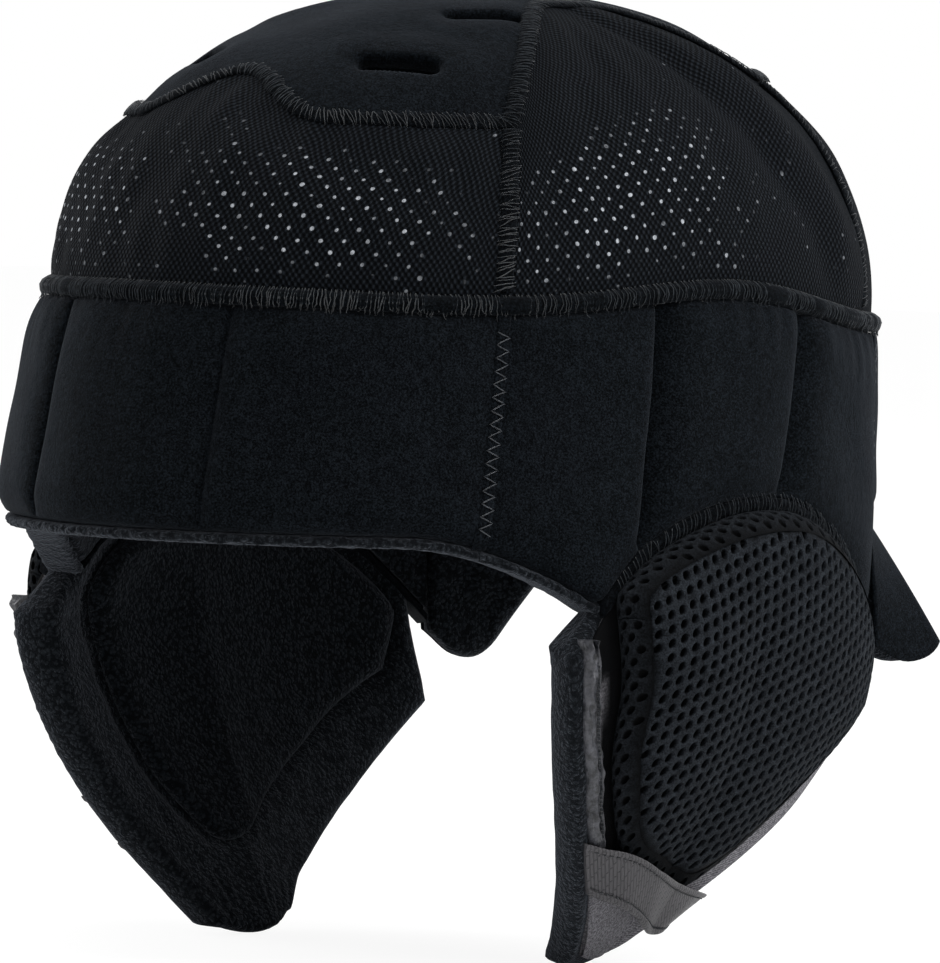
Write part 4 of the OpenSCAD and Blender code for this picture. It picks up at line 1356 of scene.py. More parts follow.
    def build_side(self, side: Side) -> None:
        """Builds the panel over one ear and its joins.

        Args:
            side: The side that it is made for.
        """
        word, fold = side.word, flap_fold(side)
        nodes = tuple(f"{n}_{word}" for n in ("band_cover", "foam_ear", "foam_side", "foam_rear"))
        self.panel(f"headband_{word}", self.side_seams, Fitting("velour", nodes, fold=fold), side)
        lining = Fitting("fleece", ("band_lining",), fold=fold)
        self.lining(f"lining_{word}", 56.1, 130.3, lining, side)
        hem = Fitting("fleece", ("front_hem",), fold=fold)
        self.hem(f"hem_{word}", self.side_join, 71.2, hem, side)
        lap = Fitting("velour", ("front_hem",), fold=fold)
        self.hem(f"flap_join_{word}", 71.0, 130.0, lap, side, joined_to_flap=True)
        self.lap_threads(side)
        for place, angle, node in (
            ("side", self.side_join, "zigzag_seam"), ("nape", self.nape_join, "nape_seam"),
        ):
            self.bed(f"{place}_join_{word}", angle, Fitting("velour", (f"{node}_{word}",)), side)
            self.zigzag(f"{place}_zigzag_{word}", angle, side)


# The crown.


@dataclass
class Crown:
    """The knitted mesh panels, the padded velour top with its vent slots, and the
    overlocked seams between them."""

    head: HeadForm
    finishes: Finishes
    seam_angle: float = 56.0
    seam_width: float = 4.4
    pad_front: float = 34.0
    pad_rear: float = 48.0
    pad_waist: float = 72.5
    tongue: float = 11.0
    tongue_half: float = 26.0
    pad_crown: float = 1.4
    fold_angle: float = 113.0
    fold_lean: float = 26.0
    stretched_front: tuple = (27, 22, 1.2)
    stretched_side: tuple = (70, 25, 1.95)
    slots: tuple = ((28.0, 45.5), (25.5, 15.0))
    slot_turn: float = 0.18
    slot_length: float = 18.5
    slot_width: float = 4.8
    slot_roll: float = 1.1

    def pad_edge(self, angle: np.ndarray) -> np.ndarray:
        """The rise at the pad's edge: level in front with a raised tongue in the middle,
        waisted at the sides, and level again behind.

        Args:
            angle: Angles in degrees.

        Returns:
            Rises above the band's top.
        """
        a = np.where(angle > 180, 360 - angle, np.abs(angle))
        raised = self.tongue * cos_of(90 * a / self.tongue_half) ** 2
        tongue = np.where(a < self.tongue_half, raised, 0)
        corner = np.where(a < 90, self.pad_front, self.pad_rear)
        away = np.abs(a - 90) / (90 - self.seam_angle)
        waist = self.pad_waist - (self.pad_waist - corner) * away**5
        rear = np.where(a > 180 - self.seam_angle, self.pad_rear, waist)
        return np.where(a < self.seam_angle, self.pad_front + tongue, rear)

    def mesh_panel(
        self, name: str, low: float, high: float, node: str, side: Side = Side.LEFT
    ) -> None:
        """A panel of knit from the band's seam up to the pad, a little slack between them,
        with a fold over each ear. Its depth tells where the knit is stretched: round an
        angle, over a width, and the higher the reach the closer to the band's seam.

        Args:
            name: The piece's name.
            low: Its first angle in degrees.
            high: Its last angle.
            node: The CAD node that it replaces.
            side: The side that it is made for.
        """
        a, t = np.meshgrid(np.linspace(low, high, int((high - low) * 1.1)), np.linspace(0, 1, 44))
        bottom = self.head.rise_at(a, self.seam_width / 2 - 1.4)
        top = self.pad_edge(a)
        rise = mix(bottom, top, t)
        slack = rumple(a * 1.6, t * 50, 34, 0.6, 61) * sin_of(180 * t)
        slack += rumple(a * 1.6, t * 30, 13, 0.28, 62) * rising(t, 0, 0.1) * rising(t, 1, 0.9)
        if low > 0 and high < 180:
            fold = a - self.fold_angle + self.fold_lean * t
            fade = np.clip(sin_of(180 * t), 0, 1) ** 0.5
            slack += (1.9 * bell(fold, 9, 7) - 1.7 * bell(fold, 0, 3.6)) * fade
        elif low < 0:
            slack += 1.5 * sin_of(180 * t) * bell(np.abs(a), 40, 16)
        form = sheet_form(self.head.dome(a, rise, slack))
        middle, wide, reach = self.stretched_front if low < 0 else self.stretched_side
        upward = np.clip(sin_of(180 * np.clip(t * reach, 0, 1)), 0, 1) ** 0.6
        form.depth = (upward * bell(np.abs(a), middle, wide)).ravel()
        piece = form.on(side).made(name, self.finishes.knit)
        Fitting("crown_mesh", (node,)).put(piece)
        declare_sheet(piece, form, Hold.STRETCHED, 1)

    def slot_frames(self) -> list[tuple[np.ndarray, np.ndarray]]:
        """Each slot's middle, and its directions along and across it, which follow the pad."""
        frames = []
        for sign in (-1, 1):
            for x, y in self.slots:
                yaw = (np.arctan2(x, y + self.head.crown_shift) + self.slot_turn) * sign
                spin = np.array([[np.cos(yaw), np.sin(yaw)], [-np.sin(yaw), np.cos(yaw)]])
                frames.append((np.array([sign * x, -y]), spin))
        return frames

    def slot_rings(self, grow: float) -> list[np.ndarray]:
        """The outlines of the four slots, grown by a distance: half circles joined by
        straight sides."""
        r = self.slot_width / 2
        turn = np.radians(np.linspace(-90, 90, 10))
        along = self.slot_length / 2 - r + (r + grow) * np.cos(turn)
        half = np.stack([along, (r + grow) * np.sin(turn)], 1)
        outline = evenly(np.concatenate([half, -half]), 44)
        return [outline @ spin + middle for middle, spin in self.slot_frames()]

    def slot_distance(self, plan: np.ndarray) -> np.ndarray:
        """The distance in the plan from each point to the nearest slot's outline.

        Args:
            plan: Places in the plan.

        Returns:
            Distances, 0 inside a slot.
        """
        near = np.full(len(plan), 99.0)
        reach = self.slot_length / 2 - self.slot_width / 2
        for middle, spin in self.slot_frames():
            along, across = (plan - middle) @ spin[0], (plan - middle) @ spin[1]
            off = np.hypot(np.maximum(0, np.abs(along) - reach), across)
            near = np.minimum(near, off - self.slot_width / 2)
        return np.maximum(near, 0)

    def pad_plan(self, step: float) -> tuple[np.ndarray, np.ndarray]:
        """The pad's plan points and triangles: rings along its edge and round its slots,
        and a staggered lattice between them.

        Args:
            step: The lattice's pitch.

        Returns:
            Plan points and triangles, with the slots left open.
        """
        angle = np.linspace(0, 360, 360, endpoint=False)
        edge = self.pad_edge(angle)
        edges, plans = [], []
        for inward in (0.0, 0.35, 0.9, 1.7):
            rise = edge + self.head.up_step(angle, edge, 0.2 + inward)
            plans.append(self.head.dome(angle, rise)[:, :2])
        outline = plans[0]
        edges.append(ring_edges(0, len(outline)))
        start = sum(len(p) for p in plans)
        for grow in (0.0, 0.3, 0.8, 1.5, 2.5):
            for ring in self.slot_rings(grow):
                if grow == 0.0:
                    edges.append(ring_edges(start, len(ring)))
                plans.append(ring)
                start += len(ring)
        x, y = np.meshgrid(np.arange(-80, 80, step), np.arange(-80, 110, step * 0.866))
        x = x + np.where(np.arange(x.shape[0]) % 2, step / 2, 0)[:, None]
        lattice = np.stack([x.ravel(), y.ravel()], 1)
        lattice = lattice[inside(lattice, plans[3]) & (self.slot_distance(lattice) > 3.2)]
        plans.append(lattice)
        found, triangles, _ = triangles_over(np.concatenate(plans), np.concatenate(edges))
        middle = found[triangles].mean(1)
        keep = inside(middle, outline) & (self.slot_distance(middle) > 0)
        return found, triangles[keep]

    def pad_ply(
        self, name: str, top: float, bottom: float, crown: float, roll: float, step: float,
        material: bpy.types.Material,
    ) -> tuple[bpy.types.Object, Form]:
        """A ply of the pad, open at the slots, whose top rolls down into them and along
        its edge on a quarter circle.

        Args:
            name: The piece's name.
            top: The top face's distance from the dome at the edge.
            bottom: The bottom face's distance.
            crown: How far the top rises in the middle.
            roll: The radius of the rolled edges.
            step: The pitch of its points.
            material: Its finish.

        Returns:
            The piece and its form.
        """
        plan, triangles = self.pad_plan(step)
        angle, f = self.head.dome_over(plan)
        rise = np.degrees(np.arccos(np.clip(f, 0, 1) ** (self.head.roundness / 2)))
        edge = self.pad_edge(angle)
        r = np.clip((90 - rise) / (90 - edge), 0, 1)
        slot, rim = self.slot_distance(plan), (1 - r) * (90 - edge) * 1.8
        dip = roll * (1 - np.sqrt(1 - (1 - np.minimum(slot / (roll * 1.2), 1)) ** 2))
        dip += 0.5 * roll * (1 - np.sqrt(1 - (1 - np.minimum(rim / roll, 1)) ** 2))
        swell = crown * (1 - r**2) + 0.25 * crown * bell(slot, 5, 3.5) - 0.4
        swell += rumple(plan[:, 0], plan[:, 1], 26, 0.25 * crown, 71) * (1 - r**6)
        high = self.head.dome_at(angle, f, top + swell - dip)
        low = self.head.dome_at(angle, f, bottom + 0.25 * dip)
        count = len(plan)
        sides = np.concatenate([triangles[:, [0, 1]], triangles[:, [1, 2]], triangles[:, [2, 0]]])
        _, first, uses = np.unique(np.sort(sides, 1), axis=0, return_index=True, return_counts=True)
        start, end = sides[first[uses == 1]].T
        walls = np.stack([end, start, start + count, end + count], 1)
        faces = [triangles, triangles[:, ::-1] + count, walls]
        form = Form(np.concatenate([high, low]), faces, np.concatenate([plan, plan])).turned_out()
        used = np.zeros(2 * count, bool)
        for group in faces:
            used[group] = True
        number = np.cumsum(used) - 1
        form = Form(form.points[used], [number[g] for g in form.faces], form.cloth[used])
        return form.made(name, material), form

    def overlock(
        self, name: str, angle: np.ndarray, rise: np.ndarray, looped: bool, node: str,
        threads: int, seed: int, side: Side = Side.LEFT,
    ) -> None:
        """An overlocked seam along a path on the dome: a low bead and its threads.

        Args:
            name: The seam's name.
            angle: The path's angles.
            rise: The path's rises.
            looped: Whether the path closes.
            node: The node that the bead replaces.
            threads: How many threads cross it.
            seed: Picks their places.
            side: The side that it is made for.
        """
        centre = self.head.dome(angle, rise)
        up = self.head.dome_normal(angle, rise)
        if looped:
            ahead = np.roll(centre, -1, 0) - np.roll(centre, 1, 0)
        else:
            ahead = np.gradient(centre, axis=0)
        ahead = unit(ahead)
        across = unit(np.cross(ahead, up))
        turn = np.linspace(0, 2 * np.pi, 12, endpoint=False)[:, None]
        half, high = 0.4 * self.seam_width, 0.6
        run = running(centre[None], 1)[0]
        wobble = 1 + rumple(run, 0 * angle, 6, 0.1, seed)[:, None, None]
        section = half * np.cos(turn) * across[:, None] + high * np.sin(turn) * up[:, None]
        ring = centre[:, None] + wobble * section + 0.3 * up[:, None]
        bead = skin_form(ring, looped).on(side).made(name, self.finishes.bead)
        Fitting("thread", (node,)).put(bead)
        rng = np.random.default_rng(seed)
        at = np.linspace(0, run[-1], threads) + rng.normal(0, 0.22, threads)
        at = np.clip(at, 0, run[-1])

        def at_threads(values: np.ndarray) -> np.ndarray:
            """Values along the path, at each thread."""
            return np.stack([np.interp(at, run, values[:, k]) for k in range(3)], -1)[:, None]

        out, over, along = (unit(at_threads(v)) for v in (up, across, ahead))
        t = np.linspace(-1, 1, 7)[None, :, None]
        reach = rng.uniform(0.9, 1.35, threads)[:, None, None] * half * 1.1
        slant = rng.normal(0.8, 0.4, threads)[:, None, None]
        shift = rng.normal(0, 0.07, (threads, 7, 1))
        arc = 1.02 * np.sqrt(np.clip(1 - (t * 0.95) ** 2, 0, 1)) + 0.1
        loose = rng.uniform(0, 0.22, threads)[:, None, None] * t**2
        path = at_threads(centre) + t * reach * over + (arc + loose) * out
        path = path + (slant * t + shift) * along
        taper = np.array([0.4, 0.85, 1, 1, 1, 0.85, 0.4])
        radius = taper * rng.uniform(0.07, 0.125, threads)[:, None]
        form = thread_form(path, np.broadcast_to(out, path.shape), radius).on(side)
        Fitting("thread").put(form.made(f"{name}_threads", self.finishes.thread))

    def build(self) -> None:
        """Builds the whole crown."""
        s = self.seam_angle
        self.mesh_panel("knit_front", -s, s, "mesh_front")
        self.mesh_panel("knit_rear", 180 - s, 180 + s, "mesh_rear")
        angle = np.linspace(0, 360, 480, endpoint=False)
        self.overlock("pad_seam", angle, self.pad_edge(angle), True, "crown_pad_seam", 620, 81)
        t = np.linspace(0, 1, 40)
        for side in Side:
            self.mesh_panel(f"knit_{side.word}", s, 180 - s, f"mesh_{side.word}", side)
            for place, a in (("front", s), ("rear", 180 - s)):
                path = np.full_like(t, a)
                low = self.head.rise_at(path, 2.6)
                high = self.pad_edge(path) - self.head.up_step(path, self.pad_edge(path), 2.2)
                name, node = (f"{kind}_seam_{place}_{side.word}" for kind in ("knit", "mesh"))
                self.overlock(name, path, mix(low, high, t), False, node, 52, 90, side)
        velour = self.finishes.velour
        pad, _ = self.pad_ply("pad_top", 0.0, -3.9, self.pad_crown, self.slot_roll, 2.0, velour)
        Fitting("velour", ("crown_pad_cover", "crown_pad_foam")).put(pad)
        lining, form = self.pad_ply("pad_underside", -4.0, -5.0, 0.0, 0.3, 3.0, self.finishes.teddy)
        Fitting("fleece", ("crown_pad_lining",)).put(lining)
        declare_sheet(lining, form, Hold.STRETCHED, 2)


# The ear flaps.


@dataclass(frozen=True)
class FlapPattern:
    """The flap's cut: s runs from its front edge to its rear edge, t from the fold to
    the tip, and a place is an angle and a height on the head form."""

    head: HeadForm
    front: float = 67.0
    rear: float = 127.6
    wing: float = 19.0
    rear_corner: float = 43.0
    depth: float = 89.5
    tip: float = 88.0
    toe: tuple = (4.0, 6.0)
    toe_lift: tuple = (1.5, 4.5)
    gap: float = 0.6

    def top_z(self, a: np.ndarray) -> np.ndarray:
        """The height of the fold at an angle."""
        notch = self.head.flap_notch
        high = float(self.head.arch_z(np.array(notch))) - self.gap
        corner = mix(-self.wing, high, (a - self.front) / (notch - self.front))
        return np.where(a < notch, corner, self.head.arch_z(np.maximum(a, notch)) - self.gap)

    def top(self, s: np.ndarray) -> np.ndarray:
        """The fold."""
        a = mix(self.front, self.rear, s)
        return np.stack([a, self.top_z(a)], -1)

    def toe_edge(self, s: np.ndarray) -> np.ndarray:
        """The rounded tip."""
        turn = mix(-self.toe[0], self.toe[1], s)
        fore, aft = self.toe_lift
        lift = np.where(turn < 0, fore * (turn / self.toe[0]) ** 2, aft * (turn / self.toe[1]) ** 2)
        return np.stack([self.tip + turn, -self.depth + lift], -1)

    def fore(self, t: np.ndarray) -> np.ndarray:
        """The front edge."""
        a = mix(self.front, self.tip - self.toe[0], np.clip(t, 0, None) ** 1.8)
        return np.stack([a, mix(-self.wing, self.toe_lift[0] - self.depth, t)], -1)

    def aft(self, t: np.ndarray) -> np.ndarray:
        """The rear edge: straight down to its corner, then in to the tip."""
        q = (t - 0.25) / 0.75
        high = float(self.top_z(np.array(self.rear)))
        a = np.where(t < 0.25, self.rear, mix(self.rear, self.tip + self.toe[1], q))
        low = mix(-self.rear_corner, self.toe_lift[1] - self.depth, q) - 0.8 * sin_of(180 * q)
        return np.stack([a, np.where(t < 0.25, mix(high, -self.rear_corner, t / 0.25), low)], -1)

    def at(self, s: np.ndarray, t: np.ndarray) -> np.ndarray:
        """The place between the four edges: each pair of edges blended across, less the
        corners blended both ways.

        Args:
            s: Shares from the front edge to the rear edge.
            t: Shares from the fold to the tip.

        Returns:
            Angles and heights.
        """
        s, t = np.broadcast_arrays(np.asarray(s, float), np.asarray(t, float))
        u, v = s[..., None], t[..., None]
        ends = (np.array(0.0), np.array(1.0))
        corners = [edge(end) for edge in (self.top, self.toe_edge) for end in ends]
        return (
            (1 - v) * self.top(s) + v * self.toe_edge(s) + (1 - u) * self.fore(t) + u * self.aft(t)
            - (1 - u) * ((1 - v) * corners[0] + v * corners[2])
            - u * ((1 - v) * corners[1] + v * corners[3])
        )

    def turn_for(self, place: np.ndarray, distance: float) -> np.ndarray:
        """The turn that moves a place forward or back by a distance."""
        a, z = place[..., 0], place[..., 1]
        return distance / np.linalg.norm(self.head.side(a + 1, z) - self.head.side(a, z), axis=-1)


@dataclass
class EarFlap:
    """A padded ear flap: softshell outside, fleece inside with a raised pad, a holed
    spacer-mesh cushion, a taped front edge and a strap loop."""

    head: HeadForm
    pattern: FlapPattern
    finishes: Finishes
    side: Side
    shell: float = 1.2
    lining_top: float = 1.3
    lining_bottom: float = 9.6
    overhang: float = 2.0
    wall: float = 8.0
    crown: float = 4.5
    face_share: float = 0.925
    hole_pitch: float = 2.97
    column_pitch: float = 2.8
    hole_half: tuple = (0.86, 1.1)
    middle_angle: float = 98.0
    mm_per_degree: float = 1.95
    loop_rise: float = 7.4
    loop_width: float = 12.0

    def fitting(self, slot: str, *nodes: str) -> Fitting:
        """The fitting of a piece of this flap, which carries the flap's fold line."""
        names = tuple(f"{node}_{self.side.word}" for node in nodes)
        return Fitting(slot, names, fold=flap_fold(self.side))

    def named(self, name: str) -> str:
        """The piece's name with its side."""
        return f"{name}_{self.side.word}"

    def plies(self) -> None:
        """The softshell face, and the fleece with its foam, rounded at the free edges."""
        s, t = np.meshgrid(stations(100.0, 1.5, 1.2), stations(95.0, 1.5, 1.2))
        place = self.pattern.at(s, t)

        def grown(by: float, out: np.ndarray) -> np.ndarray:
            """The ply's points, grown at its free edges. Its top is tucked under the band,
            and its front corner is cut low.

            Args:
                by: How far its edges grow, in mm.
                out: Distances out of the head.

            Returns:
                The points.
            """
            more = max(by, 0)
            behind = 0.8 * more * rising(s, 0.93, 1) * rising(t, 0, 0.2)
            ahead = by * rising(s, 0.07, 0) - behind
            a = place[..., 0] - self.pattern.turn_for(place, 1.0) * ahead
            z = np.where(t == 0, self.pattern.top_z(a), place[..., 1])
            tuck = (0.5 + 1.3 * more) * rising(t, 0.06, 0)
            corner = 5.0 * (rising(s, 0.08, 0) * rising(t, 0.09, 0)) ** 1.3
            return self.head.side(a, z + tuck - corner - more * rising(t, 0.9, 1), out)

        wave = rumple(s * 90, t * 90, 22, 0.18, 101)
        form = ply_form(lambda out: grown(-2.6, out), wave, wave - self.shell, s.shape, 0.6)
        plan = self.flat(place).reshape(-1, 2)
        # Painted shade on the shell: near-black within a few mm of the cushion's base over the
        # front half, and along the top by the fold.
        base = self.cushion_outline(1.0)
        away = np.where(inside(plan, base), 0, nearest(plan, base)).reshape(s.shape)
        painted_shade = rising(away, 5.5, 3.0) * rising(s, 0.5, 0.38) * rising(t, 0.8, 0.74)
        painted_shade = np.maximum(painted_shade, rising(t, 0.2, 0.15))
        form.depth = np.zeros(len(form.points))
        form.depth[:painted_shade.size] = painted_shade.ravel()
        piece = form.on(self.side).made(self.named("shell"), self.finishes.softshell)
        self.fitting("softshell", "flap_shell").put(piece)
        declare_sheet(piece, form, Hold.STRETCHED, 2)
        pad = self.plan_of(self.inner_outline())
        groove = bell(nearest(plan, pad).reshape(s.shape), 0, 1.9)
        inner = -self.lining_bottom + rumple(s * 90, t * 90, 8, 0.15, 102) + 1.9 * groove
        lip = 3.7 * bell(s, 0, 0.038) * rising(t, 0.01, 0.04)
        outer = -self.lining_top + lip + rumple(s * 90, t * 90, 2.2, 0.12, 105)
        form = ply_form(lambda out: grown(self.overhang, out), outer, inner, s.shape, 3.6)
        # The flap's fleece takes the lighter, painted-light copy of the fleece.
        piece = form.on(self.side).made(self.named("fleece"), self.finishes.lit_rim_fleece)
        self.fitting("fleece", "flap_lining", "flap_foam").put(piece)

    def inner_outline(self) -> np.ndarray:
        """The raised inner pad's outline in shares of the flap."""
        return evenly(rounded(np.array([
            [.1, .05], [.286, .05], [.51, .05], [.734, .049], [.955, .04], [.95, .1],
            [.905, .24], [.856, .37], [.77, .585], [.57, .765], [.46, .805], [.38, .808],
            [.3, .79], [.18, .66], [.15, .53], [.125, .39], [.108, .2],
        ]), 2), 160)

    def flat(self, place: np.ndarray) -> np.ndarray:
        """Angles and heights in plan millimetres."""
        along = (place[..., 0] - self.middle_angle) * self.mm_per_degree
        return np.stack([along, place[..., 1]], -1)

    def plan_of(self, shares: np.ndarray) -> np.ndarray:
        """Shares of the flap in plan millimetres."""
        return self.flat(self.pattern.at(shares[:, 0], shares[:, 1]))

    def inner_pad(self) -> None:
        """The raised V-shaped pad inside the flap: its outline in rings that shrink to
        the middle, under a rounded profile."""
        outline = self.inner_outline()
        centre = outline.mean(0)
        turn = np.linspace(0, np.pi / 2, 9)
        rim, back = 0.9 + 0.1 * np.sin(turn)[1:], [0.99, 0.9, 0.6, 0.3]
        share = np.concatenate([np.linspace(0.06, 0.9, 12), rim, back])
        rim, back = np.cos(turn)[1:] ** 0.8, [-0.1, -0.12, -0.12, -0.12]
        up = np.concatenate([np.full(12, 1.0), rim, back])
        st = centre + (outline - centre) * share[:, None, None]
        place = self.pattern.at(st[..., 0], st[..., 1])
        swell = 0.5 * np.clip(up, 0, 1)[:, None] * (1 - share[:, None] ** 2)
        bumps = rumple(st[..., 0] * 90, st[..., 1] * 90, 9, 0.14, 103) * np.clip(up, 0, 1)[:, None]
        out = -self.lining_bottom - 0.4 - 3.9 * up[:, None] - swell + bumps
        form = skin_form(self.head.side(place[..., 0], place[..., 1], out), False)
        piece = form.on(self.side).made(self.named("inner_cushion"), self.finishes.teddy)
        self.fitting("fleece", "inner_pad").put(piece)

    def cushion_outline(self, share: float) -> np.ndarray:
        """The cushion's outline in plan millimetres, scaled about its middle."""
        outline = evenly(rounded(np.array([
            [.088, .08], [.088, -.012], [.094, -.022], [.13, -.016], [.25, .002], [.448, -.004],
            [.6, .008], [.703, .026], [.846, .062], [.934, .137], [.926, .328], [.885, .55],
            [.83, .74], [.74, .835], [.55, .82], [.36, .785], [.19, .74], [.11, .64],
            [.078, .45], [.08, .35], [.09, .2],
        ]), 2), 260)
        centre = outline.mean(0)
        return self.plan_of(centre + (outline - centre) * share)

    def over(self, plan: np.ndarray, out: np.ndarray) -> np.ndarray:
        """Points over plan places at distances out of the flap."""
        angle = self.middle_angle + plan[..., 0] / self.mm_per_degree
        return self.head.side(angle, plan[..., 1], out)

    def wall_height(self, z: np.ndarray) -> np.ndarray:
        """The side wall's height, which is lower towards the tip."""
        return self.wall * mix(1, 0.5, rising(z, 8, -89))

    def holes(
        self, outline: np.ndarray, centres: np.ndarray, half: tuple, margin: float, depth: float
    ) -> tuple[np.ndarray, np.ndarray, list[np.ndarray]]:
        """A web with pockets: the plan between an outline and staggered holes, and under
        each hole a pocket of two rings and a floor.

        Args:
            outline: The web's edge.
            centres: The holes' middles. Those too near the edge are left out.
            half: Half of a hole's width and height.
            margin: The least distance from a hole's middle to the edge.
            depth: How deep a pocket is.

        Returns:
            Plan points, how far each lies below the face, and the faces.
        """
        near = np.linalg.norm(centres[:, None] - outline, axis=2).min(1)
        centres = centres[inside(centres, outline) & (near > margin)]
        turn = np.linspace(0, 2 * np.pi, 10, endpoint=False)
        wide = np.cos(turn) * half[0] + 0.3 * np.sin(turn) * half[1]
        ring = np.stack([wide, np.sin(turn) * half[1]], 1)
        rims, shoulders = (centres[:, None] + ring * k for k in (1.0, 1.2))
        count, edge = len(centres), len(outline)
        plan = np.concatenate([outline, rims.reshape(-1, 2), shoulders.reshape(-1, 2)])
        own, at = edge + 10 * np.arange(count)[:, None], np.arange(10)
        rim_edges = np.stack([own + at, own + (at + 1) % 10], -1).reshape(-1, 2)
        edges = np.concatenate([ring_edges(0, edge), rim_edges])
        found, triangles, number = triangles_over(plan, edges)
        rim_number = number[edge:edge + 10 * count].reshape(count, 10)
        hole = np.full(len(found), -1)
        hole[rim_number] = np.arange(count)[:, None]
        one, two, three = hole[triangles].T
        over_hole = (one >= 0) & (one == two) & (two == three)
        triangles = triangles[inside(found[triangles].mean(1), outline) & ~over_hole]
        down = np.zeros(len(found))
        down[rim_number] = 0.16
        pockets = [centres[:, None] + ring * k for k in (0.93, 0.8)]
        first = len(found) + np.arange(count * 10).reshape(count, 10)
        second = first + count * 10
        floor = len(found) + 2 * count * 10 + np.arange(count)
        plan = np.concatenate([found, *(p.reshape(-1, 2) for p in pockets), centres])
        down = np.concatenate([down, np.full(count * 10, 0.5 * depth), np.full(count * 11, depth)])
        walls = []
        for upper, lower in ((rim_number, first), (first, second)):
            quad = np.stack([upper, np.roll(upper, -1, 1), np.roll(lower, -1, 1), lower], -1)
            walls.append(quad.reshape(-1, 4))
        floors = np.broadcast_to(floor[:, None], second.shape)
        fan = np.stack([second, np.roll(second, -1, 1), floors], -1)
        return plan, down, [triangles, *walls, fan.reshape(-1, 3)]

    def same_way(
        self, points: np.ndarray, faces: list[np.ndarray], outward: np.ndarray
    ) -> list[np.ndarray]:
        """The faces, each group turned so that it looks outward, where outward gives a
        direction at each point.

        Args:
            points: The form's points.
            faces: Its groups of faces.
            outward: The outward direction at each point.

        Returns:
            The turned groups.
        """
        turned = []
        for group in faces:
            p = points[group]
            normal = np.cross(p[:, 1] - p[:, 0], p[:, 2] - p[:, 0])
            flip = (normal * outward[group[:, 0]]).sum() < 0
            turned.append(group[:, ::-1] if flip else group)
        return turned

    def cushion_face(self) -> None:
        """The cushion's crowned face of spacer mesh over its foam. At a share r of the
        outline its height falls with the cube of r, and it pinches in at the seam."""
        outline = self.cushion_outline(self.face_share)
        centre = outline.mean(0)
        columns, rows = np.arange(-70, 70, self.column_pitch), np.arange(-100, 40, self.hole_pitch)
        x, y = np.meshgrid(columns, rows)
        stagger = np.arange(x.shape[1]) * 0.36 % 1 * self.hole_pitch
        lattice = np.stack([x, y + stagger], -1).reshape(-1, 2) + centre
        plan, down, faces = self.holes(outline, lattice, self.hole_half, 1.2, 2.2)
        away = plan - centre
        turn = np.arctan2(away[:, 1], away[:, 0])
        edge = outline - centre
        angle = np.arctan2(edge[:, 1], edge[:, 0])
        order = np.argsort(angle)
        reach = np.interp(turn, angle[order], np.hypot(*edge.T)[order], period=2 * np.pi)
        r = np.clip(np.hypot(*away.T) / reach, 0, 1)
        inward = (1 - r) * reach
        height = self.wall_height(plan[:, 1]) + 0.1 + mix(self.crown, 0.6, r**3)
        height -= 0.9 * bell(inward, 0, 1.3)
        height += rumple(plan[:, 0], plan[:, 1], 24, 0.2, 104)
        points = self.over(plan, height - down)
        outward = unit(self.over(plan, height + 1) - self.over(plan, height))
        web = self.same_way(points, faces[:1], outward) + faces[1:]
        rim = ring_number(plan, outline)
        skirt, start = [], len(points)
        for share, up in ((0.985, 0.9), (0.97, 0.5), (0.97, 0.06)):
            low = centre + (outline - centre) * share
            skirt.append(self.over(low, 0.6 + up * (self.wall_height(low[:, 1]) - 0.6)))
        loops = [rim] + [start + k * len(outline) + np.arange(len(outline)) for k in range(3)]
        sides = [
            np.stack([np.roll(b, -1), b, a, np.roll(a, -1)], 1) for a, b in zip(loops, loops[1:])
        ]
        form = Form(np.concatenate([points, *skirt]), [*web, *sides, loops[-1][None]])
        # Painted shade: darker down each pocket and along the pinch at the face's edge, and nearly
        # full on the skirt below it.
        dark = np.clip(down / 1.5 + 0.85 * bell(inward, 0, 0.7), 0, 1)
        form.depth = np.concatenate([dark, np.full(3 * len(outline), 0.9)])
        piece = form.on(self.side).made(self.named("cushion"), self.finishes.spacer)
        self.tidy(piece)
        self.fitting("spacer_mesh", "cushion_face", "cushion_foam").put(piece)

    def tidy(self, piece: bpy.types.Object) -> None:
        """Gives a closed piece consistent normals that look outward."""
        work = bmesh.new()
        work.from_mesh(piece.data)
        bmesh.ops.remove_doubles(work, verts=work.verts, dist=1e-7)
        bmesh.ops.recalc_face_normals(work, faces=work.faces)
        work.to_mesh(piece.data)
        work.free()

    def cushion_wall(self) -> None:
        """The cushion's side wall: a strip of spacer mesh that bulges between the flap
        and the seam, with its own holes."""
        base, top = self.cushion_outline(1.0), self.cushion_outline(self.face_share)
        loop = np.concatenate([base, base[:1]])
        run = np.concatenate([[0], np.cumsum(np.linalg.norm(np.diff(loop, axis=0), axis=1))])
        length = run[-1]
        across = np.linspace(0, length, 260)
        z = np.interp(across, run, loop[:, 1])
        high = np.hypot(self.wall_height(z), 3.2)
        outline = np.concatenate([
            np.stack([across, np.zeros_like(across)], 1),
            np.stack([across, high], 1)[::-1],
        ])
        x, y = np.meshgrid(np.arange(1.6, length - 1, 2.6), np.arange(1.5, 12, 2.8))
        stagger = (np.arange(x.shape[1]) % 2) * 1.4
        lattice = np.stack([x, y + stagger], -1).reshape(-1, 2)
        plan, down, faces = self.holes(outline, lattice, (0.98, 0.82), 1.15, 1.6)

        def along(values: np.ndarray) -> np.ndarray:
            """Values on the outline, at each plan point's length along it."""
            ring = np.concatenate([values, values[:1]])
            return np.stack([np.interp(plan[:, 0], run, ring[:, k]) for k in range(2)], -1)

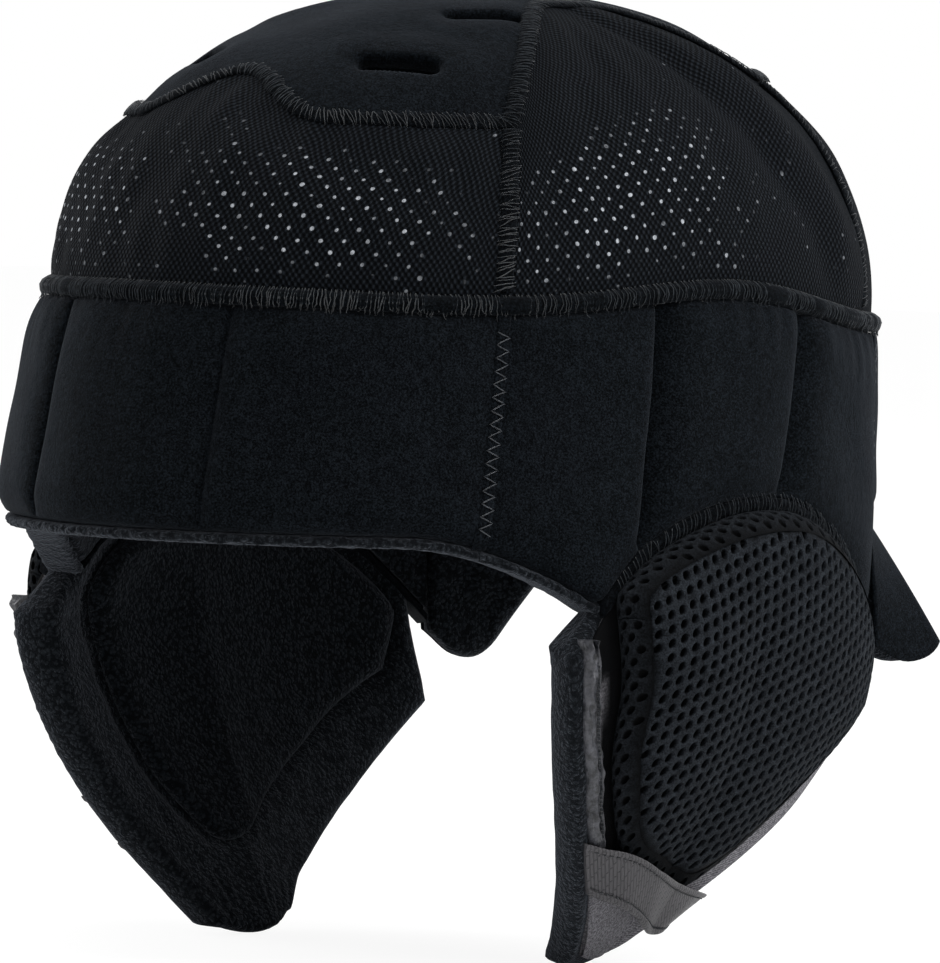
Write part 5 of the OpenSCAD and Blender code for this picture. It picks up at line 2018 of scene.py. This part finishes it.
        zs = np.interp(plan[:, 0], run, loop[:, 1])
        h = np.clip(plan[:, 1] / np.hypot(self.wall_height(zs), 3.2), 0, 1)
        low, edge = along(base), along(top)
        centre = base.mean(0)
        outdir = unit(low - centre)
        bulge = 1.5 * sin_of(180 * h) - 0.5 * bell((1 - h) * 7, 0, 0.9)
        tuck = -0.4 * bell(h * 7, 0, 0.8)
        flat = mix(low, edge, h[:, None] ** 1.3) + outdir * (bulge + tuck - down)[:, None]
        out = 0.5 + h * (self.wall_height(low[:, 1]) - 0.1)
        points = self.over(flat, out)
        outward = unit(self.over(flat + outdir, out) - self.over(flat, out))
        web = self.same_way(points, faces[:1], outward) + faces[1:]
        start = len(points)
        ring = []
        for inward, up in ((1.4, 1.0), (2.4, 0.5), (1.4, 0.0)):
            ends = mix(base, top, up) - unit(base - centre) * inward
            ring.append(self.over(ends, 0.5 + up * (self.wall_height(base[:, 1]) - 0.3)))
        count = len(base)
        loops = [start + k * count + np.arange(count) for k in range(3)]
        backs = [
            np.stack([a, np.roll(a, -1), np.roll(b, -1), b], 1) for a, b in zip(loops, loops[1:])
        ]
        form = Form(np.concatenate([points, *ring]), [*web, *backs])
        # Painted shade: the whole wall is darkened, more down its pockets and towards its top under
        # the face, and fully on its back.
        dark = np.clip(down + 0.35 + 0.5 * h**6, 0, 1)
        form.depth = np.concatenate([dark, np.ones(3 * count)])
        piece = form.on(self.side).made(self.named("cushion_side"), self.finishes.spacer)
        self.tidy(piece)
        self.fitting("spacer_mesh", "cushion_gusset").put(piece)

    def tape(self) -> None:
        """The coated tape folded round the front edge: its section carried down the
        edge, with creases, and gathered at its top end."""
        t = np.linspace(-0.01, 0.66, 190)
        section = rounded(np.array([
            [-5.9, 0.2], [-6.2, 0.9], [-5.9, 1.5], [-5.3, 1.7], [-4.9, 1.2], [-4.4, 1.8],
            [-3.7, 2.4], [-2.9, 2.5], [-2.1, 2.0], [-1.6, 1.1], [-1.6, -0.9], [-2.0, -0.9],
            [-2.6, 0.1], [-4.0, 0.2],
        ]), 2)
        place = self.pattern.fore(t)
        run = t[:, None] * 75
        crease = rumple(run * 0.35, section[:, 0], 1.5, 0.26, 111)
        crease = crease + rumple(run, section[:, 0], 4.5, 0.26, 112)
        gather = bell(t, -0.01, 0.06)[:, None]
        crease = crease * (1 + 2.2 * gather) * rising(section[:, 1], 0.5, 1.2)
        crease = crease + 0.9 * gather * np.clip(section[:, 1], 0, 1)
        wander = rumple(run, 0 * run, 14, 0.35, 113)
        ahead = section[:, 0] * (1 - 0.3 * gather) + wander * rising(section[:, 0], 0, -3)
        a = place[:, None, 0] - self.pattern.turn_for(place, 1.0)[:, None] * ahead
        rings = self.head.side(a, place[:, None, 1] + 0 * a, section[:, 1] + crease)
        form = skin_form(rings, False)
        piece = form.on(self.side).made(self.named("front_tape"), self.finishes.tape)
        self.fitting("coated_tape", "edge_tape").put(piece)
        declare_sheet(piece, form, Hold.FOLDED, 2)
        self.tape_stitches()

    def tape_stitches(self) -> None:
        """Two rows of small stitches beside the tape's rear edge."""
        count = 46
        at = np.repeat(np.linspace(0.06, 0.62, count), 2)
        row = np.tile([-5.15, -4.75], count)
        step = np.linspace(-0.5, 0.5, 5) * 0.0095
        t = at[:, None] + step
        place = self.pattern.fore(t)
        a = place[..., 0] - self.pattern.turn_for(place, 1.0) * row[:, None]
        form = self.head.threads(a, place[..., 1], 1.75 + STITCH_ARCH, 0.12).on(self.side)
        self.fitting("thread").put(form.made(self.named("tape_stitches"), self.finishes.thread))

    def loop_place(self, u: np.ndarray, v: np.ndarray, lift: np.ndarray) -> np.ndarray:
        """A point of the strap loop: u along it, v across it, and a height on it. It bows
        out by 1 less the power 2.5 of the distance from its middle, and turns under at the
        flap's rear edge.

        Args:
            u: Shares along the strap.
            v: Places across it, from -1 to 1.
            lift: Heights on it.

        Returns:
            The points.
        """
        s = mix(0.0, 1.03, u)
        middle = 0.71 + 0.18 * (1 - (1 - np.minimum(s, 1)) ** 3)
        half = mix(0.084, 0.06, rising(s, 0, 0.3)) * self.loop_width / 12
        place = self.pattern.at(s, middle - v * half)
        bow = (self.loop_rise - 0.6) * (1 - np.abs(2 * u - 1) ** 2.5)
        under = 3.0 * rising(u, 0.95, 1) ** 2
        return self.head.side(place[..., 0], place[..., 1], 0.5 + bow - under + lift)

    def loop(self) -> None:
        """The strap loop: a coated strap with turned-in edges and their stitching."""
        across = np.concatenate([[-1, -0.985, -0.95], np.linspace(-0.9, 0.9, 37), [0.95, 0.985, 1]])
        u, v = np.meshgrid(stations(70.0, 1.1, 0.8), across, indexing="ij")
        edge = np.abs(v)
        fold = 0.42 * rising(edge, 0.75, 0.8) - 0.22 * bell(edge, 0.72, 0.03)
        wave = rumple(u * 70, v * 6, 14, 0.22, 121)
        top = 1.15 + fold + wave
        form = ply_form(lambda lift: self.loop_place(u, v, lift), top, 0.1 + wave, u.shape, 0.5)
        piece = form.on(self.side).made(self.named("chin_loop"), self.finishes.strap)
        self.fitting("coated_tape", "strap_loop").put(piece)
        declare_sheet(piece, form, Hold.STRETCHED, 2)
        count = 44
        middle = np.tile(np.linspace(0.03, 0.97, count), 2)
        row = np.repeat([-0.73, 0.73], count)
        along = middle[:, None] + np.linspace(-0.5, 0.5, 5) * 0.014
        rows = np.broadcast_to(row[:, None], along.shape)
        lift = 1.2 + rumple(along * 70, rows * 6, 14, 0.22, 121) + STITCH_ARCH
        path = self.loop_place(along, rows, lift)
        up = unit(self.loop_place(along, rows, lift + 1) - path)
        threads = thread_form(path, up, 0.12).on(self.side)
        self.fitting("thread").put(threads.made(self.named("loop_stitches"), self.finishes.thread))

    def build(self) -> None:
        """Builds the whole flap."""
        self.plies()
        self.inner_pad()
        self.cushion_face()
        self.cushion_wall()
        self.tape()
        self.loop()


def nearest(points: np.ndarray, outline: np.ndarray) -> np.ndarray:
    """The distance from each plan point to the nearest point of an outline."""
    return np.linalg.norm(points[:, None] - outline, axis=2).min(1)


def ring_number(plan: np.ndarray, ring: np.ndarray) -> np.ndarray:
    """The number of the plan point at each point of a ring."""
    return np.linalg.norm(plan[None] - ring[:, None], axis=2).argmin(1)


# The nape lobes.


@dataclass
class NapeLobe:
    """A nape lobe: velour outside and deep fleece inside, with a fold line of its own."""

    head: HeadForm
    finishes: Finishes
    side: Side
    depth: float
    tilt: float
    edge_tilt: float = 8.0
    start: float = 131.0
    span: float = 25.0
    fold_z: float = 2.3
    velour: float = 1.0
    fleece: float = 6.4

    def build(self) -> None:
        """The lobe's outline gives its depth at each share of its width, and each point
        hangs from the nape's edge, tilted outward. The tilt grows from the edge beside the
        ear flap over the first third of the width."""
        profile = np.array([
            [0, .78], [.09, .93], [.2, 1], [.34, .97], [.5, .72], [.68, .46], [.86, .2], [1, .05],
        ])
        p, v = np.meshgrid(stations(45.0, 1.2, 1.4), stations(32.0, 1.2, 1.4))
        even = np.linspace(0, 1, 60)
        cut = np.pad(np.interp(even, *profile.T), 4, mode="edge")
        smooth = np.interp(p, even, np.convolve(cut, np.ones(9) / 9, "valid"))
        down = self.depth * smooth * v
        tilt = mix(self.edge_tilt, self.tilt, np.minimum(1, p / 0.34))
        z = self.fold_z - down * cos_of(tilt)
        angle = self.start + self.span * p
        curl = 0.8 * sin_of(180 * p) * v

        def place(out: np.ndarray) -> np.ndarray:
            """The lobe's points at distances out of its velour face."""
            return self.head.side(angle, z, down * sin_of(tilt) + out + curl)

        word = self.side.word
        x = 0.0551 * self.side.value
        fold = (f"nape_lobe_{word}", (x, 0.083, 0.0014), (x, 0.083, -0.008))
        form = ply_form(place, 0.0, -self.velour, p.shape, 0.5)
        piece = form.on(self.side).made(f"nape_velour_{word}", self.finishes.velour)
        Fitting("velour", (f"lobe_cover_{word}",), fold=fold).put(piece)
        declare_sheet(piece, form, Hold.STRETCHED, 2)
        top = -self.velour - 0.1
        inner = top - self.fleece + rumple(p * 45, v * 32, 7, 0.25, 131)
        form = ply_form(place, top, inner, p.shape, 2.6)
        piece = form.on(self.side).made(f"nape_fleece_{word}", self.finishes.teddy)
        Fitting("fleece", (f"lobe_lining_{word}",), fold=fold).put(piece)


# The studio.


@dataclass
class Studio:
    """A white floor, plain soft light and the camera at the photograph's angle."""

    azimuth: float = 42.0
    elevation: float = 2.5
    roll: float = 1.6
    shift: tuple = (8.3, 10.5)
    distance: float = 2500.0
    focal_px: float = 11500.0
    width_px: float = 940.0

    def camera(self) -> None:
        """The camera looks along its azimuth from a distance, rolled a little."""
        az, el, roll = np.radians([self.azimuth, self.elevation, self.roll])
        right = np.array([np.cos(az), np.sin(az), 0])
        back = np.array([np.sin(az) * np.cos(el), -np.cos(az) * np.cos(el), np.sin(el)])
        up = np.cross(back, right)
        place = right * self.shift[0] + [0, 0, self.shift[1]] + back * self.distance
        across = np.cos(roll) * right + np.sin(roll) * up
        high = -np.sin(roll) * right + np.cos(roll) * up
        lens = bpy.data.cameras.new("camera")
        lens.sensor_fit = "HORIZONTAL"
        lens.sensor_width = 36.0
        lens.lens = 36.0 * self.focal_px / self.width_px
        lens.clip_end = 100.0
        camera = bpy.data.objects.new("camera", lens)
        turned = np.eye(4)
        turned[:3, :3] = np.stack([across, high, back], 1)
        turned[:3, 3] = place * MM
        camera.matrix_world = Matrix(turned.tolist())
        bpy.context.scene.collection.objects.link(camera)
        bpy.context.scene.camera = camera

    def floor(self) -> None:
        """A wide white floor just under the liner, which keeps its shadow."""
        low = CAD_BOX[0][2] / MM - 0.3
        corner = 4000.0
        x, y = np.meshgrid([-corner, corner], [-corner, corner])
        corners = np.stack([x, y, np.full_like(x, low)], -1).reshape(-1, 3)
        form = Form(corners, [np.array([[0, 1, 3, 2]])])
        w = Wiring("floor_white")
        grain = w.ramp(w.noise(6.0), [(0.3, (0.88, 0.88, 0.88)), (0.7, (0.9, 0.9, 0.9))])
        plain = w.node("BsdfDiffuse", {"Color": grain}).outputs[0]
        glow = w.node("Emission", {"Color": (1, 1, 1, 1), "Strength": 1.1}).outputs[0]
        seen = w.math("MULTIPLY", w.node("LightPath").outputs["Is Camera Ray"], 0.82)
        both = w.node("MixShader", {0: seen, 1: plain, 2: glow}).outputs[0]
        w.node("OutputMaterial", {0: both})
        form.made("floor", w.material)

    def light(self) -> None:
        """A white surround, and two wide lamps above and to the sides."""
        world = bpy.data.worlds.new("surround")
        world.use_nodes = True
        tree = world.node_tree
        tree.nodes.clear()
        path = tree.nodes.new("ShaderNodeLightPath")
        seen = tree.nodes.new("ShaderNodeMath")
        seen.operation = "MAXIMUM"
        tree.links.new(path.outputs["Is Camera Ray"], seen.inputs[0])
        tree.links.new(path.outputs["Is Transmission Ray"], seen.inputs[1])
        level = tree.nodes.new("ShaderNodeMapRange")
        level.inputs[3].default_value, level.inputs[4].default_value = 0.52, 1.0
        tree.links.new(seen.outputs[0], level.inputs[0])
        glow = tree.nodes.new("ShaderNodeBackground")
        glow.inputs[0].default_value = (1, 1, 1, 1)
        tree.links.new(level.outputs[0], glow.inputs[1])
        end = tree.nodes.new("ShaderNodeOutputWorld")
        tree.links.new(glow.outputs[0], end.inputs[0])
        bpy.context.scene.world = world
        for name, azimuth, elevation, watts, size in (
            ("key", 122.0, 38.0, 36.0, 1.2),
            ("top", 20.0, 80.0, 20.0, 1.5),
            ("rim", -78.0, 25.0, 16.0, 1.0),
        ):
            lamp = bpy.data.lights.new(name, "AREA")
            lamp.energy, lamp.size = watts, size
            holder = bpy.data.objects.new(name, lamp)
            az, el = np.radians([azimuth, elevation])
            at = Vector((np.sin(az) * np.cos(el), -np.cos(az) * np.cos(el), np.sin(el))) * 2.0
            holder.location = at
            holder.rotation_euler = at.to_track_quat("Z", "Y").to_euler()
            bpy.context.scene.collection.objects.link(holder)

    def build(self) -> None:
        """Sets up the studio."""
        self.camera()
        self.floor()
        self.light()
        bpy.context.scene.view_settings.view_transform = "Standard"


def main() -> None:
    """Builds the liner and its studio."""
    logging.basicConfig(level=logging.INFO, format="%(message)s")
    Studio().build()
    head = HeadForm()
    finishes = Finishes()
    Headband(head, finishes).build()
    Crown(head, finishes).build()
    pattern = FlapPattern(head)
    for side in Side:
        EarFlap(head, pattern, finishes, side).build()
    NapeLobe(head, finishes, Side.LEFT, depth=32.0, tilt=33.0).build()
    NapeLobe(head, finishes, Side.RIGHT, depth=37.0, tilt=12.0).build()


if __name__ == "__main__":
    main()
